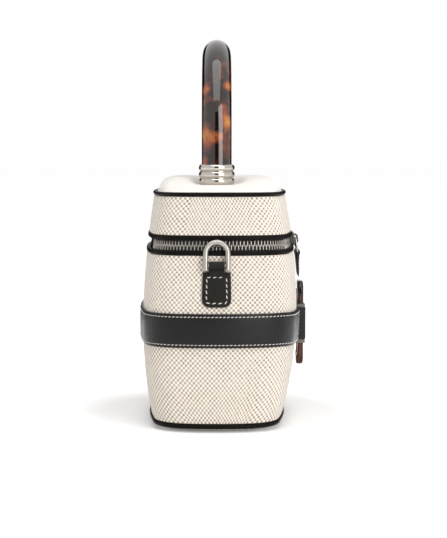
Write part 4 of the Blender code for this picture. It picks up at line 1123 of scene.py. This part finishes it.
for word in ("left", "right"):
    dress("zip_slider_" + word, gunmetal, 0.00025)
    dress("handle_screw_" + word, silver, 0.0002)
    for end in ("upper", "lower"):
        dress("buckle_collar_" + end + "_" + word, gunmetal, 0.00018)
dress("handle_backing_plate", satin, 0.0003)
for name in ("base_board", "body_stiffener", "lid_stiffener", "lid_top_board"):
    dress(name, boardFinish)
print("pulls and carried-over parts ready")


# Floor, light and camera. Angles run round the bag from the camera's side toward the front

studio = dict(world=0.33, floorGlow=0.68, clear=0.16, contactShade=0.25, aim=0.12)
lamps = dict(  # angle, height, distance, width, tall, radiance, seen in reflections
    keyPanel=(31, 0.62, 1.6, 0.88, 1.15, 4.2, True),
    sidePanel=(95, 0.5, 1.5, 1.0, 1.0, 1.8, False),
    leftPanel=(-80, 0.6, 1.6, 1.2, 0.9, 2.1, False),
    topPanel=(0, 1.24, 0.36, 0.94, 1.24, 2.1, True))
cards = dict(  # angle, distance, width, tall
    blackCard=(0, 1.5, 0.66, 1.0), frontFlag=(145, 0.7, 0.62, 0.5),
    backFlag=(-145, 0.7, 0.62, 0.5))
view = dict(distance=1.1119, height=0.1744, pitch=4.01, lens=111.15, sensor=36.0, shift=0.0126)


def around(angle, distance, height):
    return Vector((-cos(radians(angle)) * distance, -sin(radians(angle)) * distance, height))


def shownRays(tree):
    # 1 for the rays that show the background, as against those that light the bag
    path = tree.nodes.new("ShaderNodeLightPath")
    rays = [Wire(tree, path.outputs["Is " + kind + " Ray"])
            for kind in ("Camera", "Glossy", "Transmission")]
    return sum(rays[1:], rays[0]).math("MINIMUM", 1.0)


def makeFloor():
    # The floor takes the shadow, and glows away from the bag so that it meets the white behind
    finish = Finish("studioFloor", roughness=0.9, Specular_IOR_Level=0.0)
    patchy = finish.noise(3.0) * 0.02
    finish.colour(finish.mix(patchy, tone(248, 248, 248), tone(243, 243, 243)))
    # Painted shade: near the bag the floor's glow falls to a quarter, so the floor round it is
    # darker
    near = (finish.near((0, 0, 0), (studio["clear"], studio["clear"], 1.0)) * 2.0).clamped()
    glow = finish.mix(near, (1, 1, 1, 1), (studio["contactShade"],) * 3 + (1,))
    plug(finish.tree, finish.shader.inputs["Emission Color"], glow)
    plug(finish.tree, finish.shader.inputs["Emission Strength"],
         shownRays(finish.tree) * studio["floorGlow"])
    bm = bmesh.new()
    bmesh.ops.create_grid(bm, x_segments=2, y_segments=2, size=30.0)
    bmesh.ops.translate(bm, verts=bm.verts, vec=(0, 0, -0.0001))
    finishMesh("studioFloor", bm, finish.material)


def addCard(name, angle, distance, width, tall):
    # Only polished surfaces see it, as a dark streak or edge
    finish = Finish(name, roughness=1.0, Specular_IOR_Level=0.0)
    patchy = finish.noise(3.0) * 0.1
    finish.colour(finish.mix(patchy, tone(8, 8, 8), tone(14, 14, 14)))
    bm = bmesh.new()
    bmesh.ops.create_grid(bm, x_segments=1, y_segments=1, size=0.5)
    turn = Matrix.Rotation(radians(angle), 4, "Z") @ Matrix.Rotation(radians(90), 4, "Y")
    place = Matrix.Translation(around(angle, distance, tall / 2))
    bmesh.ops.transform(bm, verts=bm.verts,
                        matrix=place @ turn @ Matrix.Diagonal((tall, width, 1, 1)))
    card = finishMesh(name, bm, finish.material)
    card.visible_camera = card.visible_diffuse = False
    card.visible_shadow = card.visible_transmission = False


def addLamp(name, angle, height, distance, width, tall, radiance, reflected):
    # White paper that faces it has a radiance of 1
    lamp = bpy.data.lights.new(name, "AREA")
    lamp.energy = radiance * pi * width * tall
    lamp.shape = "RECTANGLE"
    lamp.size = width
    lamp.size_y = tall
    thing = bpy.data.objects.new(name, lamp)
    thing.location = around(angle, distance, height)
    aim = Vector((0, 0, studio["aim"])) - thing.location
    thing.rotation_euler = aim.to_track_quat("-Z", "Y").to_euler()
    thing.visible_glossy = reflected
    scene.collection.objects.link(thing)


def addWorld():
    scene.world = bpy.data.worlds.new("studioWorld")
    scene.world.use_nodes = True
    tree = scene.world.node_tree
    background = tree.nodes["Background"]
    background.inputs["Color"].default_value = (1, 1, 1, 1)
    strength = shownRays(tree) * (1 - studio["world"]) + studio["world"]
    plug(tree, background.inputs["Strength"], strength)


def addCamera():
    camera = bpy.data.cameras.new("camera")
    camera.lens = view["lens"]
    camera.sensor_fit = "VERTICAL"
    camera.sensor_height = view["sensor"]
    camera.shift_x = view["shift"]
    camera.clip_start = 0.01
    scene.camera = bpy.data.objects.new("camera", camera)
    scene.camera.location = (-view["distance"], 0, view["height"])
    scene.camera.rotation_euler = (radians(90 - view["pitch"]), 0, radians(-90))
    scene.collection.objects.link(scene.camera)


makeFloor()
for name, settings in lamps.items():
    addLamp(name, *settings)
for name, settings in cards.items():
    addCard(name, *settings)
addWorld()
addCamera()

print("studio ready")
